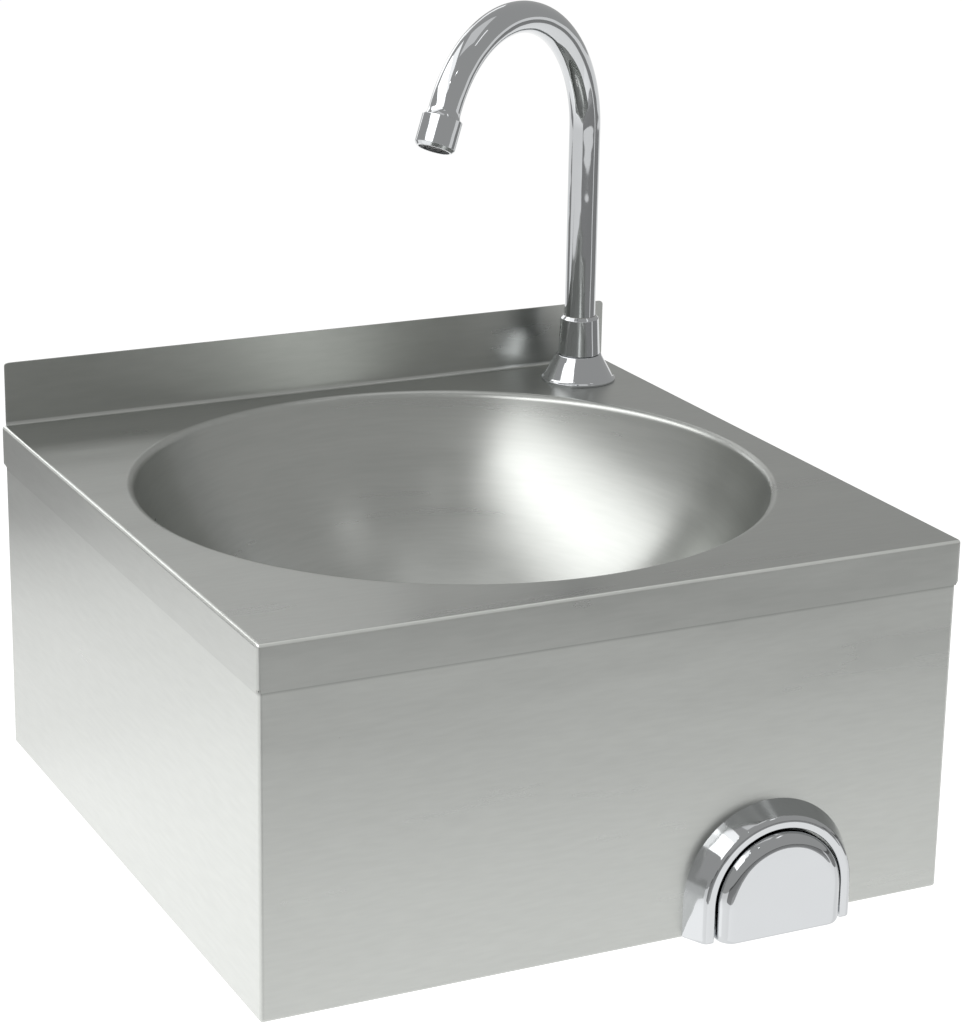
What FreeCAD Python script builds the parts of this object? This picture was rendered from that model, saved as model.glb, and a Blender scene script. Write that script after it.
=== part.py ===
import FreeCAD, Part
import math
import os

# Knee-operated stainless steel hand wash sink, wall hung, in millimetres.
# Frame: the wall is the plane y = 0 and the sink stands out of it towards -Y, +X is to the
# right of someone who faces it and +Z is up. The origin is the centre of the four wall
# fixing holes, on the wall plane and halfway up the casing.

# ---- driving dimensions ---------------------------------------------------------------

# Casing: a folded deck tray dropped over a U-shaped apron
CASING_WIDTH = 400.0
CASING_DEPTH = 400.0
CASING_HEIGHT = 200.0
SHEET = 1.2
UPSTAND_HEIGHT = 38.0
UPSTAND_INSET = 2.0
UPSTAND_FOOT_RADIUS = 2.5
UPSTAND_CORNER_RADIUS = 2.0
UPSTAND_STRIP = 12.0
SKIRT_HEIGHT = 25.0
SKIRT_CORNER_CUT = 2.0
BEND_RADIUS = 2.0
APRON_CLEAR_OF_DECK = 5.0
BOTTOM_RETURN = 12.0
MITRE_GAP = 0.6
BACK_RETURN = 26.0
FIXING_SPACING_X = 372.0
FIXING_SPACING_Z = 120.0
FIXING_HOLE_RADIUS = 3.5
CUT_OVERRUN = 5.0

# Bowl: a spherical cap with a rolled rim and a flat seat for the waste
BOWL_Y = -195.0
BOWL_RIM_RADIUS = 181.5
BOWL_RIM_FILLET = 5.0
BOWL_DEPTH = 130.0
SEAT_RADIUS = 38.0
SEAT_DROP = 1.5
SEAT_WALL_RUN = 2.0
WASTE_HOLE_RADIUS = 27.0

# Waste: a dished grid clamped through the bowl by one central screw
GRID_RADIUS = 36.0
GRID_THICKNESS = 2.0
GRID_DISH_RADIUS = 24.0
GRID_DISH_DEPTH = 4.0
GRID_HOLE_RADIUS = 2.6
GRID_RINGS = ((6, 10.5), (12, 18.5))
SEAL_THICKNESS = 1.0
CLAMP_SEAL_THICKNESS = 2.0
CLAMP_FLANGE_THICKNESS = 4.0
CUP_DEPTH = 12.0
CUP_WALL = 3.0
CUP_TAPER = 6.0
CUP_SHOULDER_RADIUS = 27.5
TAIL_NECK_RADIUS = 22.6
TAIL_NECK_LENGTH = 3.3
TAIL_RADIUS = 23.9
TAIL_BORE = 20.0
TAIL_BOTTOM = -92.0
BRIDGE_ARMS = 3
BRIDGE_FIRST_ARM = 30.0
BRIDGE_ARM_THICKNESS = 3.0
BRIDGE_ARM_DEPTH = 5.0
BRIDGE_BOSS_RADIUS = 6.0
BRIDGE_BOSS_DEPTH = 9.0
WASTE_SCREW_RADIUS = 3.0
WASTE_SCREW_HEAD = 5.6
SCREW_SLOT = 1.2

# Tap: a turned body through the deck, a bell cover and a swivelling bent spout
TAP_INSET = 38.0
TAP_HOLE_RADIUS = 11.2
BELL_RADIUS = 23.0
BELL_HEIGHT = 16.5
BELL_TOP_RADIUS = 13.9
BELL_WALL = 1.5
BELL_BRIM = 2.2
COLLAR_FOOT_RADIUS = 13.0
COLLAR_TOP_RADIUS = 11.8
COLLAR_TOP = 41.0
COLLAR_CHAMFER = 1.8
SHANK_RADIUS = 10.4
SHANK_BORE = 6.0
SHANK_LENGTH = 48.0
SOCKET_FLOOR = 8.0
SEAT_FLANGE_TOP = 5.0
DECK_SEAL_RADIUS = 17.0
DECK_SEAL_THICKNESS = 1.5
SHANK_RUBBER_RADIUS = 20.0
SHANK_RUBBER_THICKNESS = 3.0
SHANK_WASHER_RADIUS = 18.0
SHANK_WASHER_THICKNESS = 1.5
BACKNUT_ACROSS_FLATS = 30.0
BACKNUT_THICKNESS = 8.0
SPOUT_RADIUS = 9.5
SPOUT_BORE = 8.3
SPOUT_RUNNING_GAP = 0.06
SPOUT_LEG_TOP = 158.0
SPOUT_BEND_RADIUS = 76.3
SPOUT_SWEEP = 154.3
SPOUT_HEADING = 208.6
TAIL_PLUG_FOOT = 9.0
TAIL_PLUG_BORE = 6.5
TAIL_PLUG_IN_TUBE = 11.0
SNAP_RING_LEVEL = 12.4
SNAP_RING_THICKNESS = 1.5
SNAP_RING_OUTER = 9.95
SNAP_RING_INNER = 8.2
SNAP_RING_SPLIT = 3.0
SNAP_GROOVE_CLEARANCE = 0.4
ORING_LEVELS = (20.0, 31.0)
ORING_WIRE = 0.75
ORING_GROOVE_WIDTH = 2.2
AERATOR_START = 6.5
AERATOR_LENGTH = 18.6
AERATOR_RADIUS = 12.0
AERATOR_CHAMFER = 1.4
AERATOR_MOUTH_LIP = 1.2
AERATOR_INSERT_RADIUS = 10.0
AERATOR_HOLE_PITCH = 3.4
AERATOR_HOLE_RADIUS = 1.2
AERATOR_WASHER_BORE = 7.5
AERATOR_WASHER_THICKNESS = 1.5
TUBE_IN_AERATOR = 5.5
TUBE_FLARE = 1.3
TUBE_FLARE_LENGTH = 3.0

# Knee valve: a bezel and button on the panel, the valve behind it
BUTTON_X = 90.0
ARCH_CENTRE_Z = -80.0
BEZEL_BASE_RADIUS = 50.5
BEZEL_FRONT_RADIUS = 44.2
BEZEL_BORE_RADIUS = 38.4
BEZEL_PROUD = 13.2
BEZEL_EDGE_ROUND = 3.6
BEZEL_INNER_CHAMFER = 0.5
BEZEL_SCREW_CIRCLE = 45.0
BEZEL_SCREW_ANGLES = (20.0, 90.0, 160.0)
BEZEL_SCREW_RADIUS = 2.0
BEZEL_SCREW_LENGTH = 7.0
BEZEL_SCREW_HEAD = 4.0
BUTTON_RADIUS = 37.3
BUTTON_PROUD = 18.8
BUTTON_DEPTH = 10.1
BUTTON_WALL = 2.0
BUTTON_EDGE_ROUND = 7.5
BUTTON_CORNER = 3.0
BUTTON_BOSS_RADIUS = 7.0
BUTTON_BOSS_LENGTH = 3.4
LIFT_OFF_FLOOR = 0.3
VALVE_AXIS_Z = -72.0
VALVE_NECK_RADIUS = 11.0
VALVE_NECK_PROUD = 4.4
PANEL_HOLE_RADIUS = 11.4
FRONT_NUT_ACROSS_FLATS = 32.0
FRONT_NUT_THICKNESS = 4.0
GASKET_THICKNESS = 1.5
VALVE_FLANGE_RADIUS = 19.0
VALVE_FLANGE_THICKNESS = 4.0
VALVE_BARREL_RADIUS = 17.0
VALVE_CHAMBER_RADIUS = 12.0
VALVE_CHAMBER_LENGTH = 42.0
PLUNGER_RADIUS = 4.0
PLUNGER_RUNNING_GAP = 0.05
PLUNGER_TIP_RADIUS = 3.0
PLUNGER_STUD_RADIUS = 2.0
PLUNGER_RING_WIRE = 0.5
SEAT_BORE = 5.0
SEAT_WALL = 4.0
SEAT_OPENING_GAP = 0.3
POPPET_RADIUS = 7.0
POPPET_THICKNESS = 3.0
POPPET_NUT_ACROSS_FLATS = 7.0
POPPET_NUT_THICKNESS = 2.6
INLET_SPREAD = 24.0
INLET_BOSS_RADIUS = 12.5
MANIFOLD_RADIUS = 11.0
NIPPLE_SOCKET_RADIUS = 9.0
NIPPLE_SOCKET_DEPTH = 8.0
NIPPLE_ACROSS_FLATS = 24.0
NIPPLE_HEXAGON = 6.0
INLET_THREAD_RADIUS = 10.475
INLET_THREAD_LENGTH = 16.0
INLET_BORE = 6.0
NON_RETURN_LENGTH = 12.0
SPRING_WIRE = 1.2
SPRING_RADIUS = 13.2
SPRING_TURNS = 3
SPRING_END_GAP = 0.05

# Supply pipe from the valve's outlet to the foot of the tap
PIPE_RADIUS = 5.0
PIPE_BORE = 4.0
PIPE_BEND_RADIUS = 25.0
PIPE_LEVEL = -12.0
PIPE_FLANGE_THICKNESS = 2.0
LOWER_FLANGE_RADIUS = 7.4
UPPER_FLANGE_RADIUS = 9.4
OUTLET_THREAD_RADIUS = 8.3
OUTLET_HEIGHT = 26.0
OUTLET_SHOULDER = 18.0

# ---- places worked out from them ------------------------------------------------------

HALF_WIDTH = CASING_WIDTH / 2
DECK_TOP = CASING_HEIGHT / 2
DECK_UNDER = DECK_TOP - SHEET
CASING_BOTTOM = -CASING_HEIGHT / 2
SKIRT_FRONT = -CASING_DEPTH
PANEL_FRONT = SKIRT_FRONT + SHEET
PANEL_BACK = PANEL_FRONT + SHEET
APRON_HALF_WIDTH = HALF_WIDTH - SHEET
BOWL_RADIUS = (BOWL_RIM_RADIUS ** 2 / BOWL_DEPTH + BOWL_DEPTH) / 2 - BOWL_RIM_FILLET
BOWL_CENTRE_Z = DECK_TOP - BOWL_DEPTH + BOWL_RADIUS
SEAT_Z = DECK_TOP - BOWL_DEPTH - SEAT_DROP
CLAMP_TOP = SEAT_Z - SHEET - CLAMP_SEAL_THICKNESS
TAP_X = HALF_WIDTH - TAP_INSET
TAP_Y = -TAP_INSET

# Stations along the valve's axis, from the button towards the wall
ALONG_VALVE = FreeCAD.Vector(0, 1, 0)
BUTTON_FACE = PANEL_FRONT - BUTTON_PROUD
BUTTON_REAR = BUTTON_FACE + BUTTON_DEPTH
BOSS_END = BUTTON_FACE + BUTTON_WALL + BUTTON_BOSS_LENGTH
NECK_END = PANEL_FRONT - VALVE_NECK_PROUD
VALVE_FLANGE_FRONT = PANEL_BACK + GASKET_THICKNESS
VALVE_FLANGE_BACK = VALVE_FLANGE_FRONT + VALVE_FLANGE_THICKNESS
SEAL_STATION = PANEL_BACK + 4.5
CHAMBER_FRONT = PANEL_BACK + 17.6
CHAMBER_BACK = CHAMBER_FRONT + VALVE_CHAMBER_LENGTH
OUTLET_Y = CHAMBER_FRONT + 9.0
SEAT_WALL_FRONT = CHAMBER_FRONT + 16.0
SEAT_WALL_BACK = SEAT_WALL_FRONT + SEAT_WALL
POPPET_FRONT = SEAT_WALL_BACK + SEAT_OPENING_GAP
MANIFOLD_Y = CHAMBER_FRONT + 35.0
VALVE_END = CHAMBER_BACK + 4.0
INLET_FACE = MANIFOLD_Y + 20.0
OUTLET_TOP = VALVE_AXIS_Z + OUTLET_HEIGHT


# ---- drawing helpers ------------------------------------------------------------------

def vec(x, y, z):
    """A point or a direction."""
    return FreeCAD.Vector(x, y, z)


def outline(corners, place):
    """Closed wire through corners (a, b, radius); place turns (a, b) into a 3-D point."""
    edges = []
    joints = []
    count = len(corners)
    for i, (a, b, radius) in enumerate(corners):
        here = vec(a, b, 0)
        before = vec(*corners[i - 1][:2], 0) - here
        after = vec(*corners[(i + 1) % count][:2], 0) - here
        if radius == 0:
            joints.append((here, here, here))
            continue
        half_angle = before.getAngle(after) / 2
        reach = radius / math.tan(half_angle)
        bisector = (before.normalize() + after.normalize()).normalize()
        middle = here + bisector * (radius / math.sin(half_angle) - radius)
        joints.append((here + before * reach, middle, here + after * reach))
    for i, (arrive, middle, leave) in enumerate(joints):
        if arrive != leave:
            ends = [place(p.x, p.y) for p in (arrive, middle, leave)]
            edges.append(Part.Arc(*ends).toShape())
        start = place(leave.x, leave.y)
        stop = place(*tuple(joints[(i + 1) % count][0])[:2])
        if start.distanceToPoint(stop) > 1e-6:
            edges.append(Part.LineSegment(start, stop).toShape())
    return Part.Wire(edges)


def aim(shape, centre, axis):
    """Move a shape drawn about +Z at the origin onto the axis through centre."""
    turn = FreeCAD.Rotation(vec(0, 0, 1), axis)
    shape.Placement = FreeCAD.Placement(centre, turn).multiply(shape.Placement)
    return shape


def turned(corners, centre=vec(0, 0, 0), axis=vec(0, 0, 1)):
    """Lathe part: outline corners are (radius, height, corner radius)."""
    face = Part.Face(outline(corners, lambda a, b: vec(a, 0, b)))
    return aim(face.revolve(vec(0, 0, 0), vec(0, 0, 1), 360), centre, axis)


def ring(inner, outer, low, high, centre=vec(0, 0, 0), axis=vec(0, 0, 1)):
    """Plain washer or tube between two heights along its axis."""
    return turned([(inner, low, 0), (outer, low, 0), (outer, high, 0), (inner, high, 0)], centre, axis)


def rod(radius, low, high, centre=vec(0, 0, 0), axis=vec(0, 0, 1)):
    """Plain round bar between two heights along its axis."""
    return aim(Part.makeCylinder(radius, high - low, vec(0, 0, low)), centre, axis)


def block(x0, x1, y0, y1, z0, z1):
    """Plain box between two corners."""
    return Part.makeBox(x1 - x0, y1 - y0, z1 - z0, vec(x0, y0, z0))


def hex_nut(across_flats, bore, low, high, centre, axis):
    """Hexagon with both ends chamfered on a cone, and a round bore."""
    corner = across_flats / math.sqrt(3)
    points = [vec(corner * math.cos(math.radians(60 * i)), corner * math.sin(math.radians(60 * i)), low)
              for i in range(7)]
    hexagon = Part.Face(Part.makePolygon(points)).extrude(vec(0, 0, high - low))
    face_radius = across_flats / 2 * 0.97
    slope = (corner - face_radius) * 0.6
    dome = turned([(0, low, 0), (face_radius, low, 0), (corner, low + slope, 0), (corner, high - slope, 0),
                   (face_radius, high, 0), (0, high, 0)])
    nut = hexagon.common(dome)
    if bore:
        nut = nut.cut(rod(bore, low - 1, high + 1))
    return aim(nut, centre, axis)


def arch_wire(radius, bottom, corner, y):
    """Arch in an XZ plane: a half circle on two legs, with square or rounded lower corners."""
    x, z = BUTTON_X, ARCH_CENTRE_Z
    turn = corner * (1 - math.sqrt(0.5))
    left, right = x - radius, x + radius
    edges = [
        Part.Arc(vec(left, y, z), vec(x, y, z + radius), vec(right, y, z)).toShape(),
        Part.LineSegment(vec(right, y, z), vec(right, y, bottom + corner)).toShape(),
        Part.LineSegment(vec(right - corner, y, bottom), vec(left + corner, y, bottom)).toShape(),
        Part.LineSegment(vec(left, y, bottom + corner), vec(left, y, z)).toShape(),
    ]
    if corner:
        edges.insert(2, Part.Arc(vec(right, y, bottom + corner), vec(right - turn, y, bottom + turn),
                                 vec(right - corner, y, bottom)).toShape())
        edges.insert(4, Part.Arc(vec(left + corner, y, bottom), vec(left + turn, y, bottom + turn),
                                 vec(left, y, bottom + corner)).toShape())
    return Part.Wire(edges)


def edges_where(shape, test):
    """The edges that pass test(centre, edge)."""
    return [e for e in shape.Edges if test(e.CenterOfMass, e)]


def save(shape, node):
    """Write one sub-part, as a single solid or a group of separate solids."""
    solids = shape.Solids
    body = solids[0] if len(solids) == 1 else Part.makeCompound(solids)
    if not body.isValid():
        print("invalid:", node)
    body.exportStep("parts/" + node + ".step")
    print(f"{node:22s} {len(solids)} solid(s) {body.Volume / 1000:9.3f} cm3")


# ---- casing ---------------------------------------------------------------------------

def tray(half_width, front, back, low, high, radius):
    """Block with rounded front corners and rounded top front and side edges."""
    solid = block(-half_width, half_width, front, back, low, high)
    on_front = edges_where(solid, lambda c, e: abs(c.y - front) < 0.01 and c.z > low + 0.01)
    on_sides = edges_where(solid, lambda c, e: abs(c.z - high) < 0.01 and abs(abs(c.x) - half_width) < 0.01)
    return solid.makeFillet(radius, on_front + on_sides)


def bowl_joint(radius):
    """Point on the sphere of this radius where the bowl meets the rolled rim."""
    to_fillet = BOWL_RADIUS + BOWL_RIM_FILLET
    drop = DECK_TOP - BOWL_RIM_FILLET - BOWL_CENTRE_Z
    return vec(BOWL_RIM_RADIUS * radius / to_fillet, 0, BOWL_CENTRE_Z + drop * radius / to_fillet)


def rolled_rim():
    """Ring that turns the deck down into the bowl on a quarter-round section."""
    centre = vec(BOWL_RIM_RADIUS, 0, DECK_TOP - BOWL_RIM_FILLET)
    show_end = bowl_joint(BOWL_RADIUS)
    hide_end = bowl_joint(BOWL_RADIUS + SHEET)

    def rim_arc(radius, end):
        start = centre + vec(0, 0, radius)
        middle = centre + ((start - centre) + (end - centre)).normalize() * radius
        return Part.Arc(start, middle, end).toShape()

    show = rim_arc(BOWL_RIM_FILLET, show_end)
    hide = rim_arc(BOWL_RIM_FILLET - SHEET, hide_end)
    joint = Part.LineSegment(show_end, hide_end).toShape()
    top = Part.LineSegment(centre + vec(0, 0, BOWL_RIM_FILLET - SHEET),
                           centre + vec(0, 0, BOWL_RIM_FILLET)).toShape()
    face = Part.Face(Part.Wire(Part.sortEdges([show, joint, hide, top])[0]))
    return aim(face.revolve(vec(0, 0, 0), vec(0, 0, 1), 360), vec(0, BOWL_Y, 0), vec(0, 0, 1))


def deck_top():
    """Folded deck: skirt on three sides, rolled rim round the bowl, upstand along the wall."""
    skirt_low = DECK_TOP - SKIRT_HEIGHT
    deck = tray(HALF_WIDTH, SKIRT_FRONT, 0, skirt_low, DECK_TOP, BEND_RADIUS)
    deck = deck.cut(tray(HALF_WIDTH - SHEET, PANEL_FRONT, CUT_OVERRUN, skirt_low - CUT_OVERRUN, DECK_UNDER,
                         BEND_RADIUS - SHEET))

    strip_front = -UPSTAND_STRIP
    strip_half = HALF_WIDTH - UPSTAND_INSET
    deck = deck.cut(block(-strip_half, strip_half, strip_front, 1, DECK_UNDER - 1, DECK_TOP + 1))
    profile = outline([
        (strip_front, DECK_UNDER, 0), (0, DECK_UNDER, UPSTAND_FOOT_RADIUS + SHEET),
        (0, DECK_TOP + UPSTAND_HEIGHT, 0), (-SHEET, DECK_TOP + UPSTAND_HEIGHT, 0),
        (-SHEET, DECK_TOP, UPSTAND_FOOT_RADIUS), (strip_front, DECK_TOP, 0),
    ], lambda a, b: vec(-strip_half, a, b))
    strip = Part.Face(profile).extrude(vec(2 * strip_half, 0, 0))
    ends = edges_where(strip, lambda c, e: c.z > DECK_TOP + UPSTAND_HEIGHT - 0.01
                       and abs(abs(c.x) - strip_half) < 0.01)
    strip = strip.makeFillet(UPSTAND_CORNER_RADIUS, ends)
    deck = deck.fuse(strip)

    deck = deck.cut(rod(BOWL_RIM_RADIUS, DECK_UNDER - 1, DECK_TOP + 1, vec(0, BOWL_Y, 0)))
    deck = deck.fuse(rolled_rim())
    deck = deck.cut(rod(TAP_HOLE_RADIUS, DECK_UNDER - 1, DECK_TOP + 1, vec(TAP_X, TAP_Y, 0)))
    return cut_skirt_corners(deck, skirt_low).removeSplitter()


def cut_skirt_corners(deck, skirt_low):
    """Clip the lower ends of the side skirts at the wall and beside the front corners."""
    side = SKIRT_CORNER_CUT * math.sqrt(2)
    for x in (-HALF_WIDTH, HALF_WIDTH):
        for y in (SKIRT_FRONT, 0):
            cutter = block(-2 * SHEET, 2 * SHEET, -side / 2, side / 2, -side / 2, side / 2)
            cutter.rotate(vec(0, 0, 0), vec(1, 0, 0), 45)
            cutter.translate(vec(x, y, skirt_low))
            deck = deck.cut(cutter)
    for x in (-HALF_WIDTH, HALF_WIDTH):
        cutter = block(-side / 2, side / 2, -2 * SHEET, 2 * SHEET, -side / 2, side / 2)
        cutter.rotate(vec(0, 0, 0), vec(0, 1, 0), 45)
        cutter.translate(vec(x, SKIRT_FRONT, skirt_low))
        deck = deck.cut(cutter)
    return deck


def bowl():
    """Pressed bowl: a spherical cap that ends in a flat seat round the waste hole."""
    wall_foot = SEAT_RADIUS + SEAT_WALL_RUN

    def on_sphere(radius, r):
        return vec(r, 0, BOWL_CENTRE_Z - math.sqrt(radius ** 2 - r ** 2))

    def cap(radius, foot):
        start = bowl_joint(radius)
        stop = on_sphere(radius, foot)
        return Part.Arc(start, on_sphere(radius, (start.x + stop.x) / 2), stop).toShape()

    inner, outer = BOWL_RADIUS, BOWL_RADIUS + SHEET
    points = [on_sphere(inner, wall_foot), vec(SEAT_RADIUS, 0, SEAT_Z), vec(WASTE_HOLE_RADIUS, 0, SEAT_Z),
              vec(WASTE_HOLE_RADIUS, 0, SEAT_Z - SHEET), vec(SEAT_RADIUS + SHEET / 2, 0, SEAT_Z - SHEET),
              on_sphere(outer, wall_foot + SHEET / 2)]
    edges = [cap(inner, wall_foot), cap(outer, wall_foot + SHEET / 2)]
    edges += [Part.LineSegment(a, b).toShape() for a, b in zip(points, points[1:])]
    edges.append(Part.LineSegment(bowl_joint(inner), bowl_joint(outer)).toShape())
    face = Part.Face(Part.Wire(Part.sortEdges(edges)[0]))
    return aim(face.revolve(vec(0, 0, 0), vec(0, 0, 1), 360), vec(0, BOWL_Y, 0), vec(0, 0, 1))


def pan(half_width, front, back, low, high, radius):
    """Block with rounded vertical corners and rounded bottom front and side edges."""
    solid = block(-half_width, half_width, front, back, low, high)
    upright = edges_where(solid, lambda c, e: low + 0.01 < c.z < high - 0.01)
    solid = solid.makeFillet(radius, upright)
    rim = edges_where(solid, lambda c, e: abs(c.z - low) < 0.01)
    return solid.makeFillet(radius * 0.8, rim)


def apron():
    """Front and side panels in one folded sheet, returned inwards at the foot and the wall."""
    top = DECK_TOP - APRON_CLEAR_OF_DECK
    above, below = top + CUT_OVERRUN, CASING_BOTTOM - CUT_OVERRUN
    inside = APRON_HALF_WIDTH - SHEET
    shell = pan(APRON_HALF_WIDTH, PANEL_FRONT, 0, CASING_BOTTOM, top, BEND_RADIUS)
    shell = shell.cut(pan(inside, PANEL_BACK, -SHEET, CASING_BOTTOM + SHEET, above, BEND_RADIUS - SHEET))
    foot_inside = APRON_HALF_WIDTH - BOTTOM_RETURN
    foot_front = PANEL_FRONT + BOTTOM_RETURN
    foot_top = CASING_BOTTOM + CUT_OVERRUN
    shell = shell.cut(block(-foot_inside, foot_inside, foot_front, CUT_OVERRUN, below, foot_top))
    back_inside = APRON_HALF_WIDTH - BACK_RETURN
    shell = shell.cut(block(-back_inside, back_inside, -BACK_RETURN, CUT_OVERRUN, below, above))
    for side in (-1, 1):
        slit = block(0, BOTTOM_RETURN * 2, -MITRE_GAP / 2, MITRE_GAP / 2, CASING_BOTTOM - 1,
                     CASING_BOTTOM + SHEET + 0.1)
        slit.rotate(vec(0, 0, 0), vec(0, 0, 1), 90 + side * 45)
        slit.translate(vec(side * (APRON_HALF_WIDTH - BEND_RADIUS), PANEL_FRONT + BEND_RADIUS, 0))
        shell = shell.cut(slit)
        for level in (-FIXING_SPACING_Z / 2, FIXING_SPACING_Z / 2):
            shell = shell.cut(sheet_hole(FIXING_HOLE_RADIUS, vec(side * FIXING_SPACING_X / 2, 0, level)))
    shell = shell.cut(sheet_hole(PANEL_HOLE_RADIUS, valve_axis(PANEL_FRONT)))
    for centre in bezel_screw_places():
        shell = shell.cut(sheet_hole(BEZEL_SCREW_RADIUS + 0.2, centre))
    return shell


def sheet_hole(radius, centre):
    """Cutter for a round hole through a panel that faces along Y."""
    return rod(radius, -CUT_OVERRUN, CUT_OVERRUN, centre, vec(0, 1, 0))


# ---- waste ----------------------------------------------------------------------------

def bowl_axis(z=0.0):
    """Point on the bowl's upright axis."""
    return vec(0, BOWL_Y, z)


def waste_grid():
    """Dished strainer plate with two rings of holes round a countersunk screw hole."""
    rim_low = SEAT_Z + SEAL_THICKNESS
    rim_high = rim_low + GRID_THICKNESS
    dish_high = rim_high - GRID_DISH_DEPTH
    dish_low = dish_high - GRID_THICKNESS
    plate = turned([
        (0, dish_low, 0), (GRID_DISH_RADIUS + 1.0, dish_low, 1.5), (GRID_DISH_RADIUS + 2.5, rim_low, 0),
        (GRID_RADIUS, rim_low, 0), (GRID_RADIUS, rim_high, 1.2), (GRID_DISH_RADIUS + 1.5, rim_high, 1.5),
        (GRID_DISH_RADIUS, dish_high, 1.0), (0, dish_high, 0),
    ], bowl_axis())
    sink = turned([
        (0, dish_low - 1, 0), (WASTE_SCREW_RADIUS, dish_low - 1, 0), (WASTE_SCREW_RADIUS, dish_low, 0),
        (WASTE_SCREW_HEAD, dish_high, 0), (WASTE_SCREW_HEAD, dish_high + 1, 0), (0, dish_high + 1, 0),
    ], bowl_axis())
    plate = plate.cut(sink)
    holes = []
    for count, circle in GRID_RINGS:
        for i in range(count):
            angle = 2 * math.pi * i / count
            spot = vec(circle * math.cos(angle), BOWL_Y + circle * math.sin(angle), 0)
            holes.append(rod(GRID_HOLE_RADIUS, dish_low - 1, dish_high + 1, spot))
    return plate.cut(Part.makeCompound(holes))


def waste_screw():
    """Countersunk slotted screw that pulls the grid and the waste body together."""
    head_top = SEAT_Z + SEAL_THICKNESS + GRID_THICKNESS - GRID_DISH_DEPTH
    head_low = head_top - GRID_THICKNESS
    tip = CLAMP_TOP - CUP_DEPTH - BRIDGE_BOSS_DEPTH + 2.0
    screw = turned([(0, tip, 0), (WASTE_SCREW_RADIUS, tip, 0.8), (WASTE_SCREW_RADIUS, head_low, 0),
                    (WASTE_SCREW_HEAD, head_top, 0), (0, head_top, 0)], bowl_axis())
    slot_front, slot_back = BOWL_Y - SCREW_SLOT / 2, BOWL_Y + SCREW_SLOT / 2
    return screw.cut(block(-WASTE_SCREW_HEAD, WASTE_SCREW_HEAD, slot_front, slot_back,
                           head_top - SCREW_SLOT, head_top + 1))


def waste_seal_upper():
    """Flat rubber ring under the rim of the grid."""
    return ring(WASTE_HOLE_RADIUS, GRID_RADIUS - 0.8, SEAT_Z, SEAT_Z + SEAL_THICKNESS, bowl_axis())


def waste_seal_lower():
    """Thicker rubber ring between the bowl's underside and the clamp flange."""
    return ring(WASTE_HOLE_RADIUS, GRID_RADIUS, CLAMP_TOP, SEAT_Z - SHEET, bowl_axis())


def waste_body():
    """Flanged cup under the bowl, a shoulder and neck, the threaded tail and a screw bridge."""
    flange_low = CLAMP_TOP - CLAMP_FLANGE_THICKNESS
    cup_low = CLAMP_TOP - CUP_DEPTH
    cup_radius = WASTE_HOLE_RADIUS + CUP_WALL
    shoulder = cup_low - CUP_TAPER
    thread_top = shoulder - TAIL_NECK_LENGTH
    body = turned([
        (WASTE_HOLE_RADIUS, CLAMP_TOP, 0), (GRID_RADIUS, CLAMP_TOP, 0), (GRID_RADIUS, flange_low, 1.0),
        (cup_radius, flange_low, 1.0), (cup_radius, cup_low, 3.0), (CUP_SHOULDER_RADIUS, shoulder, 0.8),
        (TAIL_NECK_RADIUS, shoulder, 0), (TAIL_NECK_RADIUS, thread_top, 0), (TAIL_RADIUS, thread_top, 0),
        (TAIL_RADIUS, TAIL_BOTTOM, 0.8), (TAIL_BORE, TAIL_BOTTOM, 0),
        (TAIL_BORE, shoulder + 1, 2.0), (WASTE_HOLE_RADIUS, cup_low + 1, 2.0),
    ], bowl_axis())
    boss_top = cup_low + 1
    boss_low = boss_top - BRIDGE_BOSS_DEPTH
    boss = rod(BRIDGE_BOSS_RADIUS, boss_low, boss_top, bowl_axis())
    for i in range(BRIDGE_ARMS):
        arm = block(0, TAIL_BORE + 1, -BRIDGE_ARM_THICKNESS / 2, BRIDGE_ARM_THICKNESS / 2,
                    boss_low, boss_low + BRIDGE_ARM_DEPTH)
        arm.rotate(vec(0, 0, 0), vec(0, 0, 1), 360.0 / BRIDGE_ARMS * i + BRIDGE_FIRST_ARM)
        arm.translate(bowl_axis())
        boss = boss.fuse(arm)
    boss = boss.cut(rod(WASTE_SCREW_RADIUS, boss_low - 1, boss_top + 1, bowl_axis()))
    return body.fuse(boss).removeSplitter()


# ---- tap ------------------------------------------------------------------------------

def tap_axis(level=0.0):
    """Point on the tap's axis, level counted from the top of the deck."""
    return vec(TAP_X, TAP_Y, DECK_TOP + level)


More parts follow.
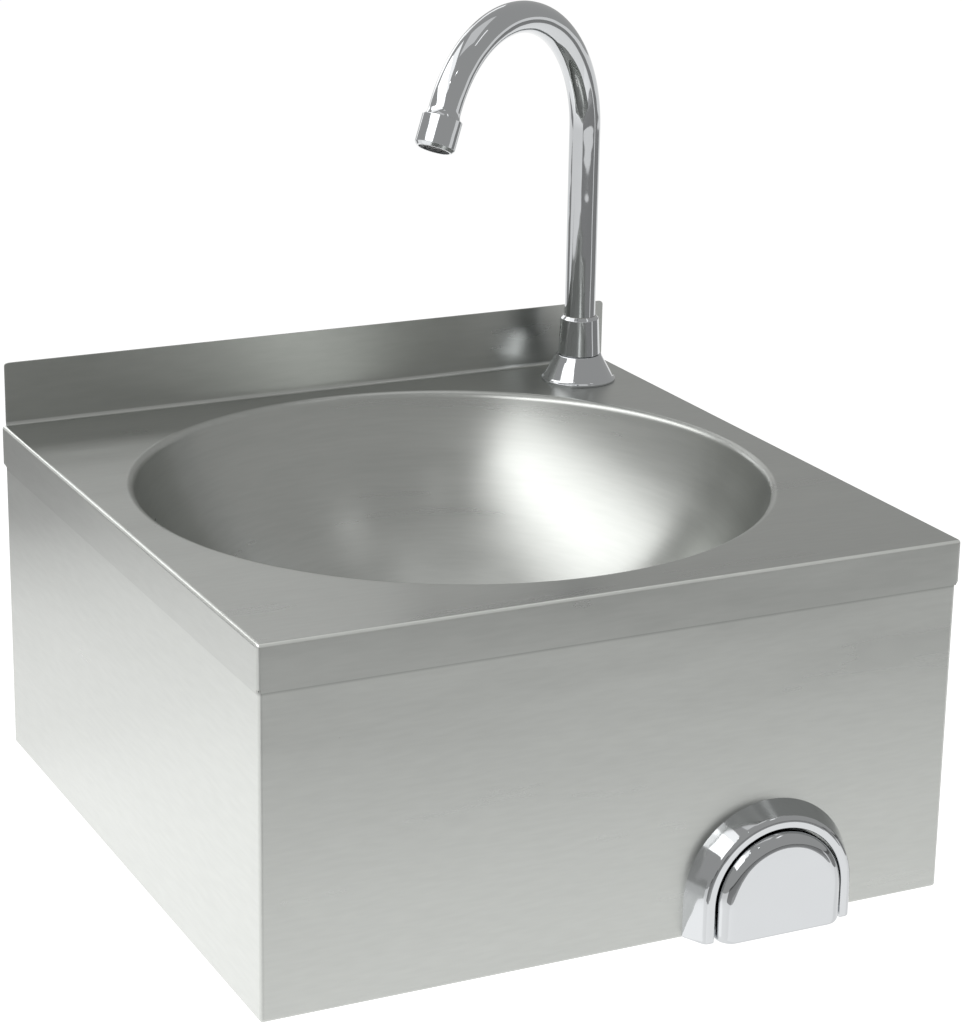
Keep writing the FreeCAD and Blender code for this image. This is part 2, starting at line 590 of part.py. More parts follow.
def tap_body():
    """Turned body: conical collar, seat flange and the threaded shank, bored for the spout."""
    bore = SPOUT_RADIUS + SPOUT_RUNNING_GAP
    groove_low = SNAP_RING_LEVEL - SNAP_GROOVE_CLEARANCE
    groove_high = SNAP_RING_LEVEL + SNAP_RING_THICKNESS + SNAP_GROOVE_CLEARANCE
    groove_radius = SNAP_RING_OUTER + SNAP_GROOVE_CLEARANCE
    neck = COLLAR_FOOT_RADIUS - 0.8
    return turned([
        (bore, COLLAR_TOP, 0), (COLLAR_TOP_RADIUS - COLLAR_CHAMFER, COLLAR_TOP, 0),
        (COLLAR_TOP_RADIUS, COLLAR_TOP - COLLAR_CHAMFER, 0.6), (COLLAR_FOOT_RADIUS, BELL_HEIGHT, 0),
        (neck, BELL_HEIGHT, 0), (neck, SEAT_FLANGE_TOP, 0), (DECK_SEAL_RADIUS, SEAT_FLANGE_TOP, 1.0),
        (DECK_SEAL_RADIUS, DECK_SEAL_THICKNESS, 0), (SHANK_RADIUS, DECK_SEAL_THICKNESS, 0),
        (SHANK_RADIUS, -SHANK_LENGTH, 1.0), (SHANK_BORE, -SHANK_LENGTH, 0), (SHANK_BORE, SOCKET_FLOOR, 0),
        (bore, SOCKET_FLOOR, 0), (bore, groove_low, 0), (groove_radius, groove_low, 0),
        (groove_radius, groove_high, 0), (bore, groove_high, 0),
    ], tap_axis())


def escutcheon():
    """Bell cover, a thin spun shell between the deck and the collar's foot."""
    hole = COLLAR_FOOT_RADIUS - 0.8
    return turned([
        (BELL_RADIUS, 0, 0), (BELL_RADIUS, BELL_BRIM, 0.8), (BELL_RADIUS - 1.6, BELL_BRIM + 1, 6.0),
        (BELL_TOP_RADIUS + 1.6, BELL_HEIGHT - 3.4, 5.0), (BELL_TOP_RADIUS, BELL_HEIGHT, 0.7),
        (hole, BELL_HEIGHT, 0), (hole, BELL_HEIGHT - BELL_WALL, 0),
        (BELL_TOP_RADIUS, BELL_HEIGHT - 2.6 * BELL_WALL, 4.0),
        (BELL_RADIUS - 2.2 * BELL_WALL, 2 * BELL_WALL, 3.0), (BELL_RADIUS - BELL_WALL, 0, 0),
    ], tap_axis())


def deck_seal():
    """Rubber ring between the body's seat flange and the deck."""
    return ring(TAP_HOLE_RADIUS, DECK_SEAL_RADIUS, 0, DECK_SEAL_THICKNESS, tap_axis())


def shank_rubber():
    """Rubber ring against the deck's underside."""
    return ring(SHANK_RADIUS, SHANK_RUBBER_RADIUS, -SHEET - SHANK_RUBBER_THICKNESS, -SHEET, tap_axis())


def shank_washer():
    """Steel ring under the rubber ring."""
    top = -SHEET - SHANK_RUBBER_THICKNESS
    return ring(SHANK_RADIUS, SHANK_WASHER_RADIUS, top - SHANK_WASHER_THICKNESS, top, tap_axis())


def shank_backnut():
    """Nut that clamps the tap to the deck from below."""
    top = -SHEET - SHANK_RUBBER_THICKNESS - SHANK_WASHER_THICKNESS
    return hex_nut(BACKNUT_ACROSS_FLATS, SHANK_RADIUS, top - BACKNUT_THICKNESS, top, tap_axis(), vec(0, 0, 1))


def spout_tail():
    """Turned plug in the foot of the spout: grooves for two rings and the snap ring."""
    snap_top = SNAP_RING_LEVEL + SNAP_RING_THICKNESS
    plug_top = COLLAR_TOP + TAIL_PLUG_IN_TUBE
    corners = [(TAIL_PLUG_BORE, TAIL_PLUG_FOOT, 0), (SPOUT_RADIUS, TAIL_PLUG_FOOT, 0.6),
               (SPOUT_RADIUS, SNAP_RING_LEVEL, 0), (SNAP_RING_INNER, SNAP_RING_LEVEL, 0),
               (SNAP_RING_INNER, snap_top, 0), (SPOUT_RADIUS, snap_top, 0)]
    for level in ORING_LEVELS:
        depth = SPOUT_RADIUS - 2 * ORING_WIRE
        low, high = level - ORING_GROOVE_WIDTH / 2, level + ORING_GROOVE_WIDTH / 2
        corners += [(SPOUT_RADIUS, low, 0), (depth, low, 0), (depth, high, 0), (SPOUT_RADIUS, high, 0)]
    corners += [(SPOUT_RADIUS, COLLAR_TOP, 0), (SPOUT_BORE, COLLAR_TOP, 0), (SPOUT_BORE, plug_top, 0),
                (TAIL_PLUG_BORE, plug_top, 0)]
    return turned(corners, tap_axis())


def spout_orings():
    """Two rubber rings in the tail's grooves."""
    rings = [Part.makeTorus(SPOUT_RADIUS - ORING_WIRE, ORING_WIRE, tap_axis(level)) for level in ORING_LEVELS]
    return Part.makeCompound(rings)


def spout_snap_ring():
    """Split ring in the tail's groove that keeps the spout from lifting out of the collar."""
    snap = ring(SNAP_RING_INNER, SNAP_RING_OUTER, SNAP_RING_LEVEL, SNAP_RING_LEVEL + SNAP_RING_THICKNESS)
    half_split = SNAP_RING_SPLIT / 2
    snap = snap.cut(block(0, SNAP_RING_OUTER + 1, -half_split, half_split, 0, 2 * SNAP_RING_LEVEL))
    return aim(snap, tap_axis(), vec(0, 0, 1))


def on_spout(shape):
    """Turn a shape drawn with the spout bending towards +X into the spout's heading."""
    shape.rotate(vec(0, 0, 0), vec(0, 0, 1), SPOUT_HEADING)
    shape.translate(tap_axis())
    return shape


def outlet(shape):
    """Move a lathe part drawn along +Z onto the spout's outlet, 0 at the end of the bend."""
    shape.rotate(vec(SPOUT_BEND_RADIUS, 0, 0), vec(0, 1, 0), SPOUT_SWEEP)
    shape.translate(vec(0, 0, SPOUT_LEG_TOP))
    return on_spout(shape)


def spout_tube():
    """Bent tube: upright leg, one long bend and a short straight end with a flared lip."""
    leg = ring(SPOUT_BORE, SPOUT_RADIUS, COLLAR_TOP, SPOUT_LEG_TOP)
    section = Part.Face([Part.Wire(Part.makeCircle(r, vec(0, 0, SPOUT_LEG_TOP)))
                         for r in (SPOUT_RADIUS, SPOUT_BORE)])
    bend = section.revolve(vec(SPOUT_BEND_RADIUS, 0, SPOUT_LEG_TOP), vec(0, 1, 0), SPOUT_SWEEP)
    upright = on_spout(leg.fuse(bend))
    flare_foot = AERATOR_START - TUBE_FLARE_LENGTH
    end = AERATOR_START + TUBE_IN_AERATOR
    straight = turned([
        (SPOUT_BORE, 0, 0), (SPOUT_RADIUS, 0, 0), (SPOUT_RADIUS, flare_foot, 4.0),
        (SPOUT_RADIUS + TUBE_FLARE, AERATOR_START, 0), (SPOUT_RADIUS, AERATOR_START, 0),
        (SPOUT_RADIUS, end, 0), (SPOUT_BORE, end, 0),
    ])
    return upright.fuse(outlet(straight)).removeSplitter()


def aerator_housing():
    """Screwed sleeve round the spout's end, chamfered at the mouth."""
    start, end = AERATOR_START, AERATOR_START + AERATOR_LENGTH
    tube_end = start + TUBE_IN_AERATOR
    mouth = AERATOR_INSERT_RADIUS - 0.8
    return outlet(turned([
        (SPOUT_RADIUS, start, 0), (AERATOR_RADIUS, start, 0.5), (AERATOR_RADIUS, end - AERATOR_CHAMFER, 0.5),
        (AERATOR_RADIUS - AERATOR_CHAMFER, end, 0), (mouth, end, 0), (mouth, end - AERATOR_MOUTH_LIP, 0),
        (AERATOR_INSERT_RADIUS, end - AERATOR_MOUTH_LIP, 0), (AERATOR_INSERT_RADIUS, tube_end, 0),
        (SPOUT_RADIUS, tube_end, 0),
    ]))


def aerator_washer():
    """Rubber ring between the tube's end and the insert."""
    low = AERATOR_START + TUBE_IN_AERATOR
    return outlet(ring(AERATOR_WASHER_BORE, AERATOR_INSERT_RADIUS, low, low + AERATOR_WASHER_THICKNESS))


def aerator_insert():
    """Flow straightener: a plug with a hexagonal field of through holes."""
    low = AERATOR_START + TUBE_IN_AERATOR + AERATOR_WASHER_THICKNESS
    high = AERATOR_START + AERATOR_LENGTH - AERATOR_MOUTH_LIP
    plug = rod(AERATOR_INSERT_RADIUS, low, high)
    holes = []
    for row in range(-2, 3):
        for column in range(-2, 3):
            x = AERATOR_HOLE_PITCH * (column + row / 2)
            y = AERATOR_HOLE_PITCH * row * math.sqrt(3) / 2
            if math.hypot(x, y) < AERATOR_INSERT_RADIUS - 2.0:
                holes.append(rod(AERATOR_HOLE_RADIUS, low - 1, high + 1, vec(x, y, 0)))
    return outlet(plug.cut(Part.makeCompound(holes)))


# ---- knee valve -----------------------------------------------------------------------

def valve_axis(y=0.0):
    """Point on the axis that the button, the plunger and the valve share."""
    return vec(BUTTON_X, y, VALVE_AXIS_Z)


def bezel_screw_places():
    """Centres of the bezel's screws on the front of the panel."""
    places = []
    for angle in BEZEL_SCREW_ANGLES:
        x = BUTTON_X + BEZEL_SCREW_CIRCLE * math.cos(math.radians(angle))
        z = ARCH_CENTRE_Z + BEZEL_SCREW_CIRCLE * math.sin(math.radians(angle))
        places.append(vec(x, PANEL_FRONT, z))
    return places


def valve_bezel():
    """Cast arch with a tapering outer wall and a rounded lip, open at the foot."""
    foot = CASING_BOTTOM + LIFT_OFF_FLOOR
    long_foot = foot - 2 * CUT_OVERRUN
    front = PANEL_FRONT - BEZEL_PROUD
    base = arch_wire(BEZEL_BASE_RADIUS, long_foot, 0, PANEL_FRONT)
    lip = arch_wire(BEZEL_FRONT_RADIUS, long_foot, 0, front)
    body = Part.makeLoft([base, lip], True, True)
    edges = edges_where(body, lambda c, e: abs(c.y - front) < 0.01 and c.z > long_foot + 0.1)
    body = body.makeFillet(BEZEL_EDGE_ROUND, edges)
    bore = Part.Face(arch_wire(BEZEL_BORE_RADIUS, long_foot - CUT_OVERRUN, 0, front - CUT_OVERRUN))
    body = body.cut(bore.extrude(vec(0, BEZEL_PROUD + 2 * CUT_OVERRUN, 0)))
    inner_edge = edges_where(body, lambda c, e: abs(c.y - front) < 0.01 and on_bore(e))
    body = body.makeChamfer(BEZEL_INNER_CHAMFER, inner_edge)
    body = body.cut(block(-CASING_WIDTH, CASING_WIDTH, front - CUT_OVERRUN, PANEL_FRONT + CUT_OVERRUN,
                          long_foot - CUT_OVERRUN, foot))
    for centre in bezel_screw_places():
        body = body.cut(rod(BEZEL_SCREW_RADIUS, -1, BEZEL_SCREW_LENGTH + 0.5, centre, vec(0, -1, 0)))
    return body


def on_bore(edge):
    """True for the edges of the bezel's lip that border its bore."""
    end = edge.Vertexes[0]
    return abs(abs(end.X - BUTTON_X) - BEZEL_BORE_RADIUS) < 0.01


def bezel_screws():
    """Pan head screws with a cross slot, from behind the panel into the bezel."""
    head, shaft, tip = BEZEL_SCREW_HEAD, BEZEL_SCREW_RADIUS, BEZEL_SCREW_LENGTH
    head_top = -SHEET - 0.6 * head
    reach, half_slot = 0.6 * head, SCREW_SLOT / 2
    slot_floor = head_top + SCREW_SLOT
    screws = []
    for centre in bezel_screw_places():
        screw = turned([(0, head_top, 0), (head, head_top, 1.0), (head, -SHEET, 0), (shaft, -SHEET, 0),
                        (shaft, tip, 0.6), (0, tip, 0)])
        screw = screw.cut(block(-half_slot, half_slot, -reach, reach, head_top - 1, slot_floor))
        screw = screw.cut(block(-reach, reach, -half_slot, half_slot, head_top - 1, slot_floor))
        screws.append(aim(screw, centre, vec(0, -1, 0)))
    return Part.makeCompound(screws)


def valve_gasket():
    """Rubber ring between the valve's flange and the back of the panel."""
    return ring(PANEL_HOLE_RADIUS, VALVE_FLANGE_RADIUS, PANEL_BACK, VALVE_FLANGE_FRONT,
                valve_axis(), ALONG_VALVE)


def valve_front_nut():
    """Thin nut that pulls the valve's flange against the panel."""
    return hex_nut(FRONT_NUT_ACROSS_FLATS, VALVE_NECK_RADIUS, PANEL_FRONT - FRONT_NUT_THICKNESS, PANEL_FRONT,
                   valve_axis(), ALONG_VALVE)


def inlet_axis(side):
    """Foot of an inlet's axis: side -1 is the hot one, +1 the cold one."""
    return vec(BUTTON_X + side * INLET_SPREAD, 0, VALVE_AXIS_Z)


def valve_body():
    """Cast body: neck, flange, barrel, two inlet branches to the rear and an outlet on top."""
    outside = turned([
        (0, NECK_END, 0), (VALVE_NECK_RADIUS, NECK_END, 0.8), (VALVE_NECK_RADIUS, VALVE_FLANGE_FRONT, 0),
        (VALVE_FLANGE_RADIUS, VALVE_FLANGE_FRONT, 0), (VALVE_FLANGE_RADIUS, VALVE_FLANGE_BACK, 1.0),
        (VALVE_BARREL_RADIUS, VALVE_FLANGE_BACK, 0), (VALVE_BARREL_RADIUS, VALVE_END, 3.0),
        (0, VALVE_END, 0),
    ], valve_axis(), ALONG_VALVE)
    manifold = rod(MANIFOLD_RADIUS, -INLET_SPREAD, INLET_SPREAD, valve_axis(MANIFOLD_Y), vec(1, 0, 0))
    outside = outside.fuse(manifold)
    branch_start = MANIFOLD_Y - INLET_BOSS_RADIUS
    for side in (-1, 1):
        branch = turned([
            (0, branch_start, 0), (INLET_BOSS_RADIUS, branch_start, 5.0),
            (INLET_BOSS_RADIUS, INLET_FACE, 0.8), (0, INLET_FACE, 0),
        ], inlet_axis(side), ALONG_VALVE)
        outside = outside.fuse(branch)
    boss_radius = OUTLET_THREAD_RADIUS + 2
    outlet_boss = turned([
        (0, 0, 0), (boss_radius, 0, 0), (boss_radius, OUTLET_SHOULDER, 1.0),
        (OUTLET_THREAD_RADIUS, OUTLET_SHOULDER, 0), (OUTLET_THREAD_RADIUS, OUTLET_HEIGHT, 0.6),
        (0, OUTLET_HEIGHT, 0),
    ], valve_axis(OUTLET_Y))
    outside = outside.fuse(outlet_boss)

    hollow = rod(PLUNGER_RADIUS + PLUNGER_RUNNING_GAP, NECK_END - 1, CHAMBER_FRONT + 1,
                 valve_axis(), ALONG_VALVE)
    chamber = rod(VALVE_CHAMBER_RADIUS, CHAMBER_FRONT, CHAMBER_BACK, valve_axis(), ALONG_VALVE)
    cross = rod(INLET_BORE - 1, -INLET_SPREAD, INLET_SPREAD, valve_axis(MANIFOLD_Y), vec(1, 0, 0))
    up = rod(PIPE_BORE, VALVE_CHAMBER_RADIUS - 4, OUTLET_HEIGHT + 1, valve_axis(OUTLET_Y))
    hollow = hollow.fuse([chamber, cross, up])
    for side in (-1, 1):
        centre = inlet_axis(side)
        socket_floor = INLET_FACE - NIPPLE_SOCKET_DEPTH
        hollow = hollow.fuse(rod(INLET_BORE, MANIFOLD_Y - INLET_BORE, INLET_FACE + 1, centre, ALONG_VALVE))
        hollow = hollow.fuse(rod(NIPPLE_SOCKET_RADIUS, socket_floor, INLET_FACE + 1, centre, ALONG_VALVE))
    return outside.cut(hollow).removeSplitter()


def valve_cartridge():
    """Sleeve in the barrel with the valve seat across it and a port up to the outlet."""
    sleeve_end = MANIFOLD_Y - 8.0
    front_wall = CHAMBER_FRONT + 2.0
    front_bore = VALVE_CHAMBER_RADIUS - 4.0
    rear_bore = VALVE_CHAMBER_RADIUS - 3.0
    sleeve = turned([
        (SEAT_BORE, CHAMBER_FRONT, 0), (VALVE_CHAMBER_RADIUS, CHAMBER_FRONT, 0),
        (VALVE_CHAMBER_RADIUS, sleeve_end, 0), (rear_bore, sleeve_end, 0), (rear_bore, SEAT_WALL_BACK, 0),
        (SEAT_BORE, SEAT_WALL_BACK, 0), (SEAT_BORE, SEAT_WALL_FRONT, 0), (front_bore, SEAT_WALL_FRONT, 0),
        (front_bore, front_wall, 0), (SEAT_BORE, front_wall, 0),
    ], valve_axis(), ALONG_VALVE)
    return sleeve.cut(rod(PIPE_BORE, SEAT_BORE, VALVE_CHAMBER_RADIUS + 1, valve_axis(OUTLET_Y)))


def inlet_nipple(side):
    """Hexagon nipple screwed into an inlet branch, with a free half-inch thread."""
    centre = inlet_axis(side)
    hex_low = INLET_FACE + SEAL_THICKNESS
    hex_high = hex_low + NIPPLE_HEXAGON
    end = hex_high + INLET_THREAD_LENGTH
    body = hex_nut(NIPPLE_ACROSS_FLATS, 0, hex_low, hex_high, centre, ALONG_VALVE)
    stub = rod(NIPPLE_SOCKET_RADIUS, INLET_FACE - NIPPLE_SOCKET_DEPTH, hex_low + 1, centre, ALONG_VALVE)
    thread = turned([(0, hex_high - 1, 0), (INLET_THREAD_RADIUS, hex_high - 1, 0),
                     (INLET_THREAD_RADIUS, end, 0.8), (0, end, 0)], centre, ALONG_VALVE)
    bore = rod(INLET_BORE, INLET_FACE - NIPPLE_SOCKET_DEPTH - 1, end + 1, centre, ALONG_VALVE)
    return body.fuse([stub, thread]).cut(bore).removeSplitter()


def inlet_washers():
    """Fibre rings between the nipples and the inlet branches."""
    rings = [ring(NIPPLE_SOCKET_RADIUS, INLET_BOSS_RADIUS - 0.5, INLET_FACE, INLET_FACE + SEAL_THICKNESS,
                  inlet_axis(side), ALONG_VALVE) for side in (-1, 1)]
    return Part.makeCompound(rings)


def check_valves():
    """Non-return cartridges in both nipples: a sleeve round a domed disc on a spider."""
    wall, rib, rib_depth = 1.4, 1.2, 2.0
    low = INLET_FACE + 2.0
    spider_low = low + NON_RETURN_LENGTH / 3
    bore = INLET_BORE - wall
    reach = bore + wall / 4
    cartridges = []
    for side in (-1, 1):
        sleeve = ring(bore, INLET_BORE, low, low + NON_RETURN_LENGTH, inlet_axis(side), ALONG_VALVE)
        dome = turned([
            (0, spider_low, 0), (2.0, spider_low, 0), (3.2, spider_low + 5, 1.5), (0, spider_low + 7, 0),
        ], inlet_axis(side), ALONG_VALVE)
        spider = block(-reach, reach, -rib / 2, rib / 2, spider_low, spider_low + rib_depth)
        spider = spider.fuse(block(-rib / 2, rib / 2, -reach, reach, spider_low, spider_low + rib_depth))
        spider = aim(spider, inlet_axis(side), ALONG_VALVE)
        cartridges.append(sleeve.fuse([dome, spider]))
    return Part.makeCompound(cartridges)


def push_button():
    """D-shaped knee button: a thin cast shell with a deep round along the arch and legs."""
    foot = CASING_BOTTOM + LIFT_OFF_FLOOR

    def d_block(radius, bottom, corner, face, edge_round):
        wire = arch_wire(radius, bottom, corner, face)
        body = Part.Face(wire).extrude(vec(0, BUTTON_REAR - face, 0))
        upper = edges_where(body, lambda c, e: abs(c.y - face) < 0.01 and c.z > bottom + corner + 0.1)
        return body.makeFillet(edge_round, upper)

    shell = d_block(BUTTON_RADIUS, foot, BUTTON_CORNER, BUTTON_FACE, BUTTON_EDGE_ROUND)
    inner = d_block(BUTTON_RADIUS - BUTTON_WALL, foot + BUTTON_WALL, BUTTON_CORNER - BUTTON_WALL / 2,
                    BUTTON_FACE + BUTTON_WALL, BUTTON_EDGE_ROUND - BUTTON_WALL)
    shell = shell.cut(inner)
    boss = rod(BUTTON_BOSS_RADIUS, BUTTON_FACE + BUTTON_WALL / 2, BOSS_END, valve_axis(), ALONG_VALVE)
    shell = shell.fuse(boss)
    socket = rod(PLUNGER_TIP_RADIUS, BUTTON_FACE + BUTTON_WALL / 2, BOSS_END + 1, valve_axis(), ALONG_VALVE)
    return shell.cut(socket)


def plunger():
    """Stepped rod from the button's boss through the neck and the valve seat."""
    body, waist, stud = PLUNGER_RADIUS, PLUNGER_TIP_RADIUS, PLUNGER_STUD_RADIUS
    front = BUTTON_FACE + BUTTON_WALL / 2
    groove_low, groove_high = SEAL_STATION - 0.8, SEAL_STATION + 0.8
    groove_floor = PLUNGER_RADIUS - 2 * PLUNGER_RING_WIRE
    step = CHAMBER_FRONT + 1.0
    shoulder = POPPET_FRONT - 1.2
    tip = POPPET_FRONT + POPPET_THICKNESS + POPPET_NUT_THICKNESS + 0.9
    return turned([
        (0, front, 0), (waist, front, 0), (waist, BOSS_END, 0), (body, BOSS_END, 0.4),
        (body, groove_low, 0), (groove_floor, groove_low, 0),
        (groove_floor, groove_high, 0), (body, groove_high, 0),
        (body, step, 0.5), (waist, step, 0), (waist, shoulder, 0), (body, shoulder, 0),
        (body, POPPET_FRONT, 0), (stud, POPPET_FRONT, 0), (stud, tip, 0.5), (0, tip, 0),
    ], valve_axis(), ALONG_VALVE)


def plunger_oring():
    """Rubber ring in the plunger's groove."""
    torus = Part.makeTorus(PLUNGER_RADIUS - PLUNGER_RING_WIRE, PLUNGER_RING_WIRE)
    return aim(torus, valve_axis(SEAL_STATION), ALONG_VALVE)


def valve_poppet():
    """Rubber disc that closes on the seat from behind."""
    return ring(PLUNGER_STUD_RADIUS, POPPET_RADIUS, POPPET_FRONT, POPPET_FRONT + POPPET_THICKNESS,
                valve_axis(), ALONG_VALVE)


def poppet_nut():
    """Small nut that holds the disc on the plunger."""
    low = POPPET_FRONT + POPPET_THICKNESS
    return hex_nut(POPPET_NUT_ACROSS_FLATS, PLUNGER_STUD_RADIUS, low, low + POPPET_NUT_THICKNESS,
                   valve_axis(), ALONG_VALVE)


def biarc(start, start_way, end, end_way):
    """Two arcs in space that leave start and reach end along the given unit directions."""
    chord = end - start
    ways = start_way + end_way
    spread = 2 * (1 - start_way.dot(end_way))
    along = chord.dot(ways)
    reach = (-along + math.sqrt(along ** 2 + spread * chord.dot(chord))) / spread
    knee_a = start + start_way * reach
    knee_b = end - end_way * reach
    joint = (knee_a + knee_b) / 2
    arcs = []
    for first, knee, last in ((start, knee_a, joint), (joint, knee_b, end)):
        weight = first.distanceToPoint(last) / (2 * reach)
        middle = (first + knee * (2 * weight) + last) / (2 + 2 * weight)
        arcs.append(Part.Arc(first, middle, last).toShape())
    return arcs


def return_spring():
    """Open coil between the front nut and the inside of the button, one unbroken wire."""
    low = BUTTON_FACE + BUTTON_WALL + SPRING_WIRE / 2 + SPRING_END_GAP
    high = PANEL_FRONT - FRONT_NUT_THICKNESS - SPRING_WIRE / 2 - SPRING_END_GAP
    pitch = (high - low) / SPRING_TURNS
    climb = pitch / (2 * math.pi)
    steps = 4 * SPRING_TURNS

    def place(angle):
        return vec(SPRING_RADIUS * math.cos(angle), low + climb * angle, SPRING_RADIUS * math.sin(angle))

    def way(angle):
        return vec(-SPRING_RADIUS * math.sin(angle), climb, SPRING_RADIUS * math.cos(angle)).normalize()

    edges = []
    for i in range(steps):
        a, b = math.pi / 2 * i, math.pi / 2 * (i + 1)
        edges += biarc(place(a), way(a), place(b), way(b))
    section = Part.Wire(Part.makeCircle(SPRING_WIRE / 2, place(0), way(0)))
    coil = Part.Wire(edges).makePipeShell([section], True, False)
    print("spring: pitch", round(pitch, 2), "gap between turns", round(pitch - SPRING_WIRE, 2))
    coil.translate(vec(BUTTON_X, 0, VALVE_AXIS_Z))
    return coil


# ---- supply pipe ----------------------------------------------------------------------

def pipe_route(inset):
    """Wire from the valve's outlet up, across under the bowl and up to the tap's shank."""
    start = vec(BUTTON_X, OUTLET_Y, OUTLET_TOP + inset)
    stop = vec(TAP_X, TAP_Y, DECK_TOP - SHANK_LENGTH - inset)
    low_turn = vec(start.x, start.y, PIPE_LEVEL)
    high_turn = vec(stop.x, stop.y, PIPE_LEVEL)
    across = (high_turn - low_turn).normalize()
    bend = PIPE_BEND_RADIUS
    knee = bend * (1 - math.sqrt(0.5))
    up = vec(0, 0, 1)
    bend_1 = (low_turn - up * bend, low_turn - up * knee + across * knee, low_turn + across * bend)
    bend_2 = (high_turn - across * bend, high_turn - across * knee + up * knee, high_turn + up * bend)
    return [
        Part.LineSegment(start, bend_1[0]).toShape(), Part.Arc(*bend_1).toShape(),
        Part.LineSegment(bend_1[2], bend_2[0]).toShape(), Part.Arc(*bend_2).toShape(),
        Part.LineSegment(bend_2[2], stop).toShape(),
    ]


def supply_pipe():
    """Bent tube with a flanged face at each end for the union nuts."""
    edges = pipe_route(SEAL_THICKNESS)
    start = edges[0].Vertexes[0].Point
    stop = edges[-1].Vertexes[-1].Point
    tubes = [Part.Wire(edges).makePipeShell([Part.Wire(Part.makeCircle(r, start, vec(0, 0, 1)))], True, False)
             for r in (PIPE_RADIUS, PIPE_BORE)]
    low_face = rod(LOWER_FLANGE_RADIUS, 0, PIPE_FLANGE_THICKNESS, start)
    high_face = rod(UPPER_FLANGE_RADIUS, -PIPE_FLANGE_THICKNESS, 0, stop)
    pipe = tubes[0].fuse([low_face, high_face])
    bores = tubes[1].fuse([rod(PIPE_BORE, -1, 3, start), rod(PIPE_BORE, -3, 1, stop)])
    return pipe.cut(bores).removeSplitter()


def pipe_seals():
    """Fibre rings at both ends of the pipe."""
    low = ring(PIPE_BORE, LOWER_FLANGE_RADIUS, 0, SEAL_THICKNESS, vec(BUTTON_X, OUTLET_Y, OUTLET_TOP))
    high = ring(SHANK_BORE, UPPER_FLANGE_RADIUS, -SEAL_THICKNESS, 0, tap_axis(-SHANK_LENGTH))
    return Part.makeCompound([low, high])


def union_nut(across_flats, thread_radius, flange_radius, grip, centre, axis):
    """Nut over a threaded end that pulls the pipe's flange up to it across a seal."""
    flange_end = SEAL_THICKNESS + PIPE_FLANGE_THICKNESS
    nut = hex_nut(across_flats, PIPE_RADIUS, -grip, flange_end + 2.5, centre, axis)
    inside = rod(thread_radius, -grip - 1, 0, centre, axis)
    seat = rod(flange_radius, -1, flange_end, centre, axis)
    return nut.cut(inside.fuse(seat))


def pipe_nut_lower():
    """Union nut on the valve's outlet."""
    return union_nut(21.0, OUTLET_THREAD_RADIUS, LOWER_FLANGE_RADIUS, 7.0,
                     vec(BUTTON_X, OUTLET_Y, OUTLET_TOP), vec(0, 0, 1))


def pipe_nut_upper():
    """Union nut on the tap's shank."""
    return union_nut(27.0, SHANK_RADIUS, UPPER_FLANGE_RADIUS, 9.0, tap_axis(-SHANK_LENGTH), vec(0, 0, -1))


# ---- output ---------------------------------------------------------------------------

NODES = {
    "deck_top": deck_top,
    "bowl": bowl,
    "apron": apron,
    "waste_grid": waste_grid,
    "waste_screw": waste_screw,
    "waste_seal_upper": waste_seal_upper,
    "waste_seal_lower": waste_seal_lower,
    "waste_body": waste_body,
    "tap_body": tap_body,
    "escutcheon": escutcheon,
    "deck_seal": deck_seal,
    "shank_rubber": shank_rubber,
    "shank_washer": shank_washer,
    "shank_backnut": shank_backnut,
    "spout_tail": spout_tail,
    "spout_orings": spout_orings,
    "spout_snap_ring": spout_snap_ring,
    "spout_tube": spout_tube,
    "aerator_housing": aerator_housing,
    "aerator_washer": aerator_washer,
    "aerator_insert": aerator_insert,
    "valve_bezel": valve_bezel,
    "bezel_screws": bezel_screws,
    "valve_gasket": valve_gasket,
    "valve_front_nut": valve_front_nut,
    "valve_body": valve_body,
    "valve_cartridge": valve_cartridge,
    "hot_inlet_nipple": lambda: inlet_nipple(-1),
    "cold_inlet_nipple": lambda: inlet_nipple(1),
    "inlet_washers": inlet_washers,
    "check_valves": check_valves,
    "push_button": push_button,
    "plunger": plunger,
    "plunger_oring": plunger_oring,
    "valve_poppet": valve_poppet,
    "poppet_nut": poppet_nut,
    "return_spring": return_spring,
    "supply_pipe": supply_pipe,
    "pipe_seals": pipe_seals,
    "pipe_nut_lower": pipe_nut_lower,
    "pipe_nut_upper": pipe_nut_upper,
}

os.makedirs("parts", exist_ok=True)
for node_name, make in NODES.items():
    save(make(), node_name)
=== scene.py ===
import math

import bmesh
import bpy
import numpy as np
from bpy.props import FloatProperty, FloatVectorProperty, IntProperty, PointerProperty
from mathutils import Matrix, Vector


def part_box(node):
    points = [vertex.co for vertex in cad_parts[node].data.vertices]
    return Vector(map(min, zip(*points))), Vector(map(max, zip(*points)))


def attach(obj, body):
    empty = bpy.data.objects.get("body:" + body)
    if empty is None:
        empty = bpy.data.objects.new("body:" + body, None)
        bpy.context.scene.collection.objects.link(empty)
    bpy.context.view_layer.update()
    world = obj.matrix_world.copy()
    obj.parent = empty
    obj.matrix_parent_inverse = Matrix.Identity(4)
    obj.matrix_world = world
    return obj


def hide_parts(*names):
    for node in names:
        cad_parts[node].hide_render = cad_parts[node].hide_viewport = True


bl_info = {
    "name": "Knee-operated hand wash sink",
    "version": (1, 0, 0),
    "blender": (4, 5, 0),
    "location": "3D View > Sidebar > Sink",
    "description": "Builds the show surfaces of a wall-hung stainless steel sink on its packed model",
    "category": "Object",
}

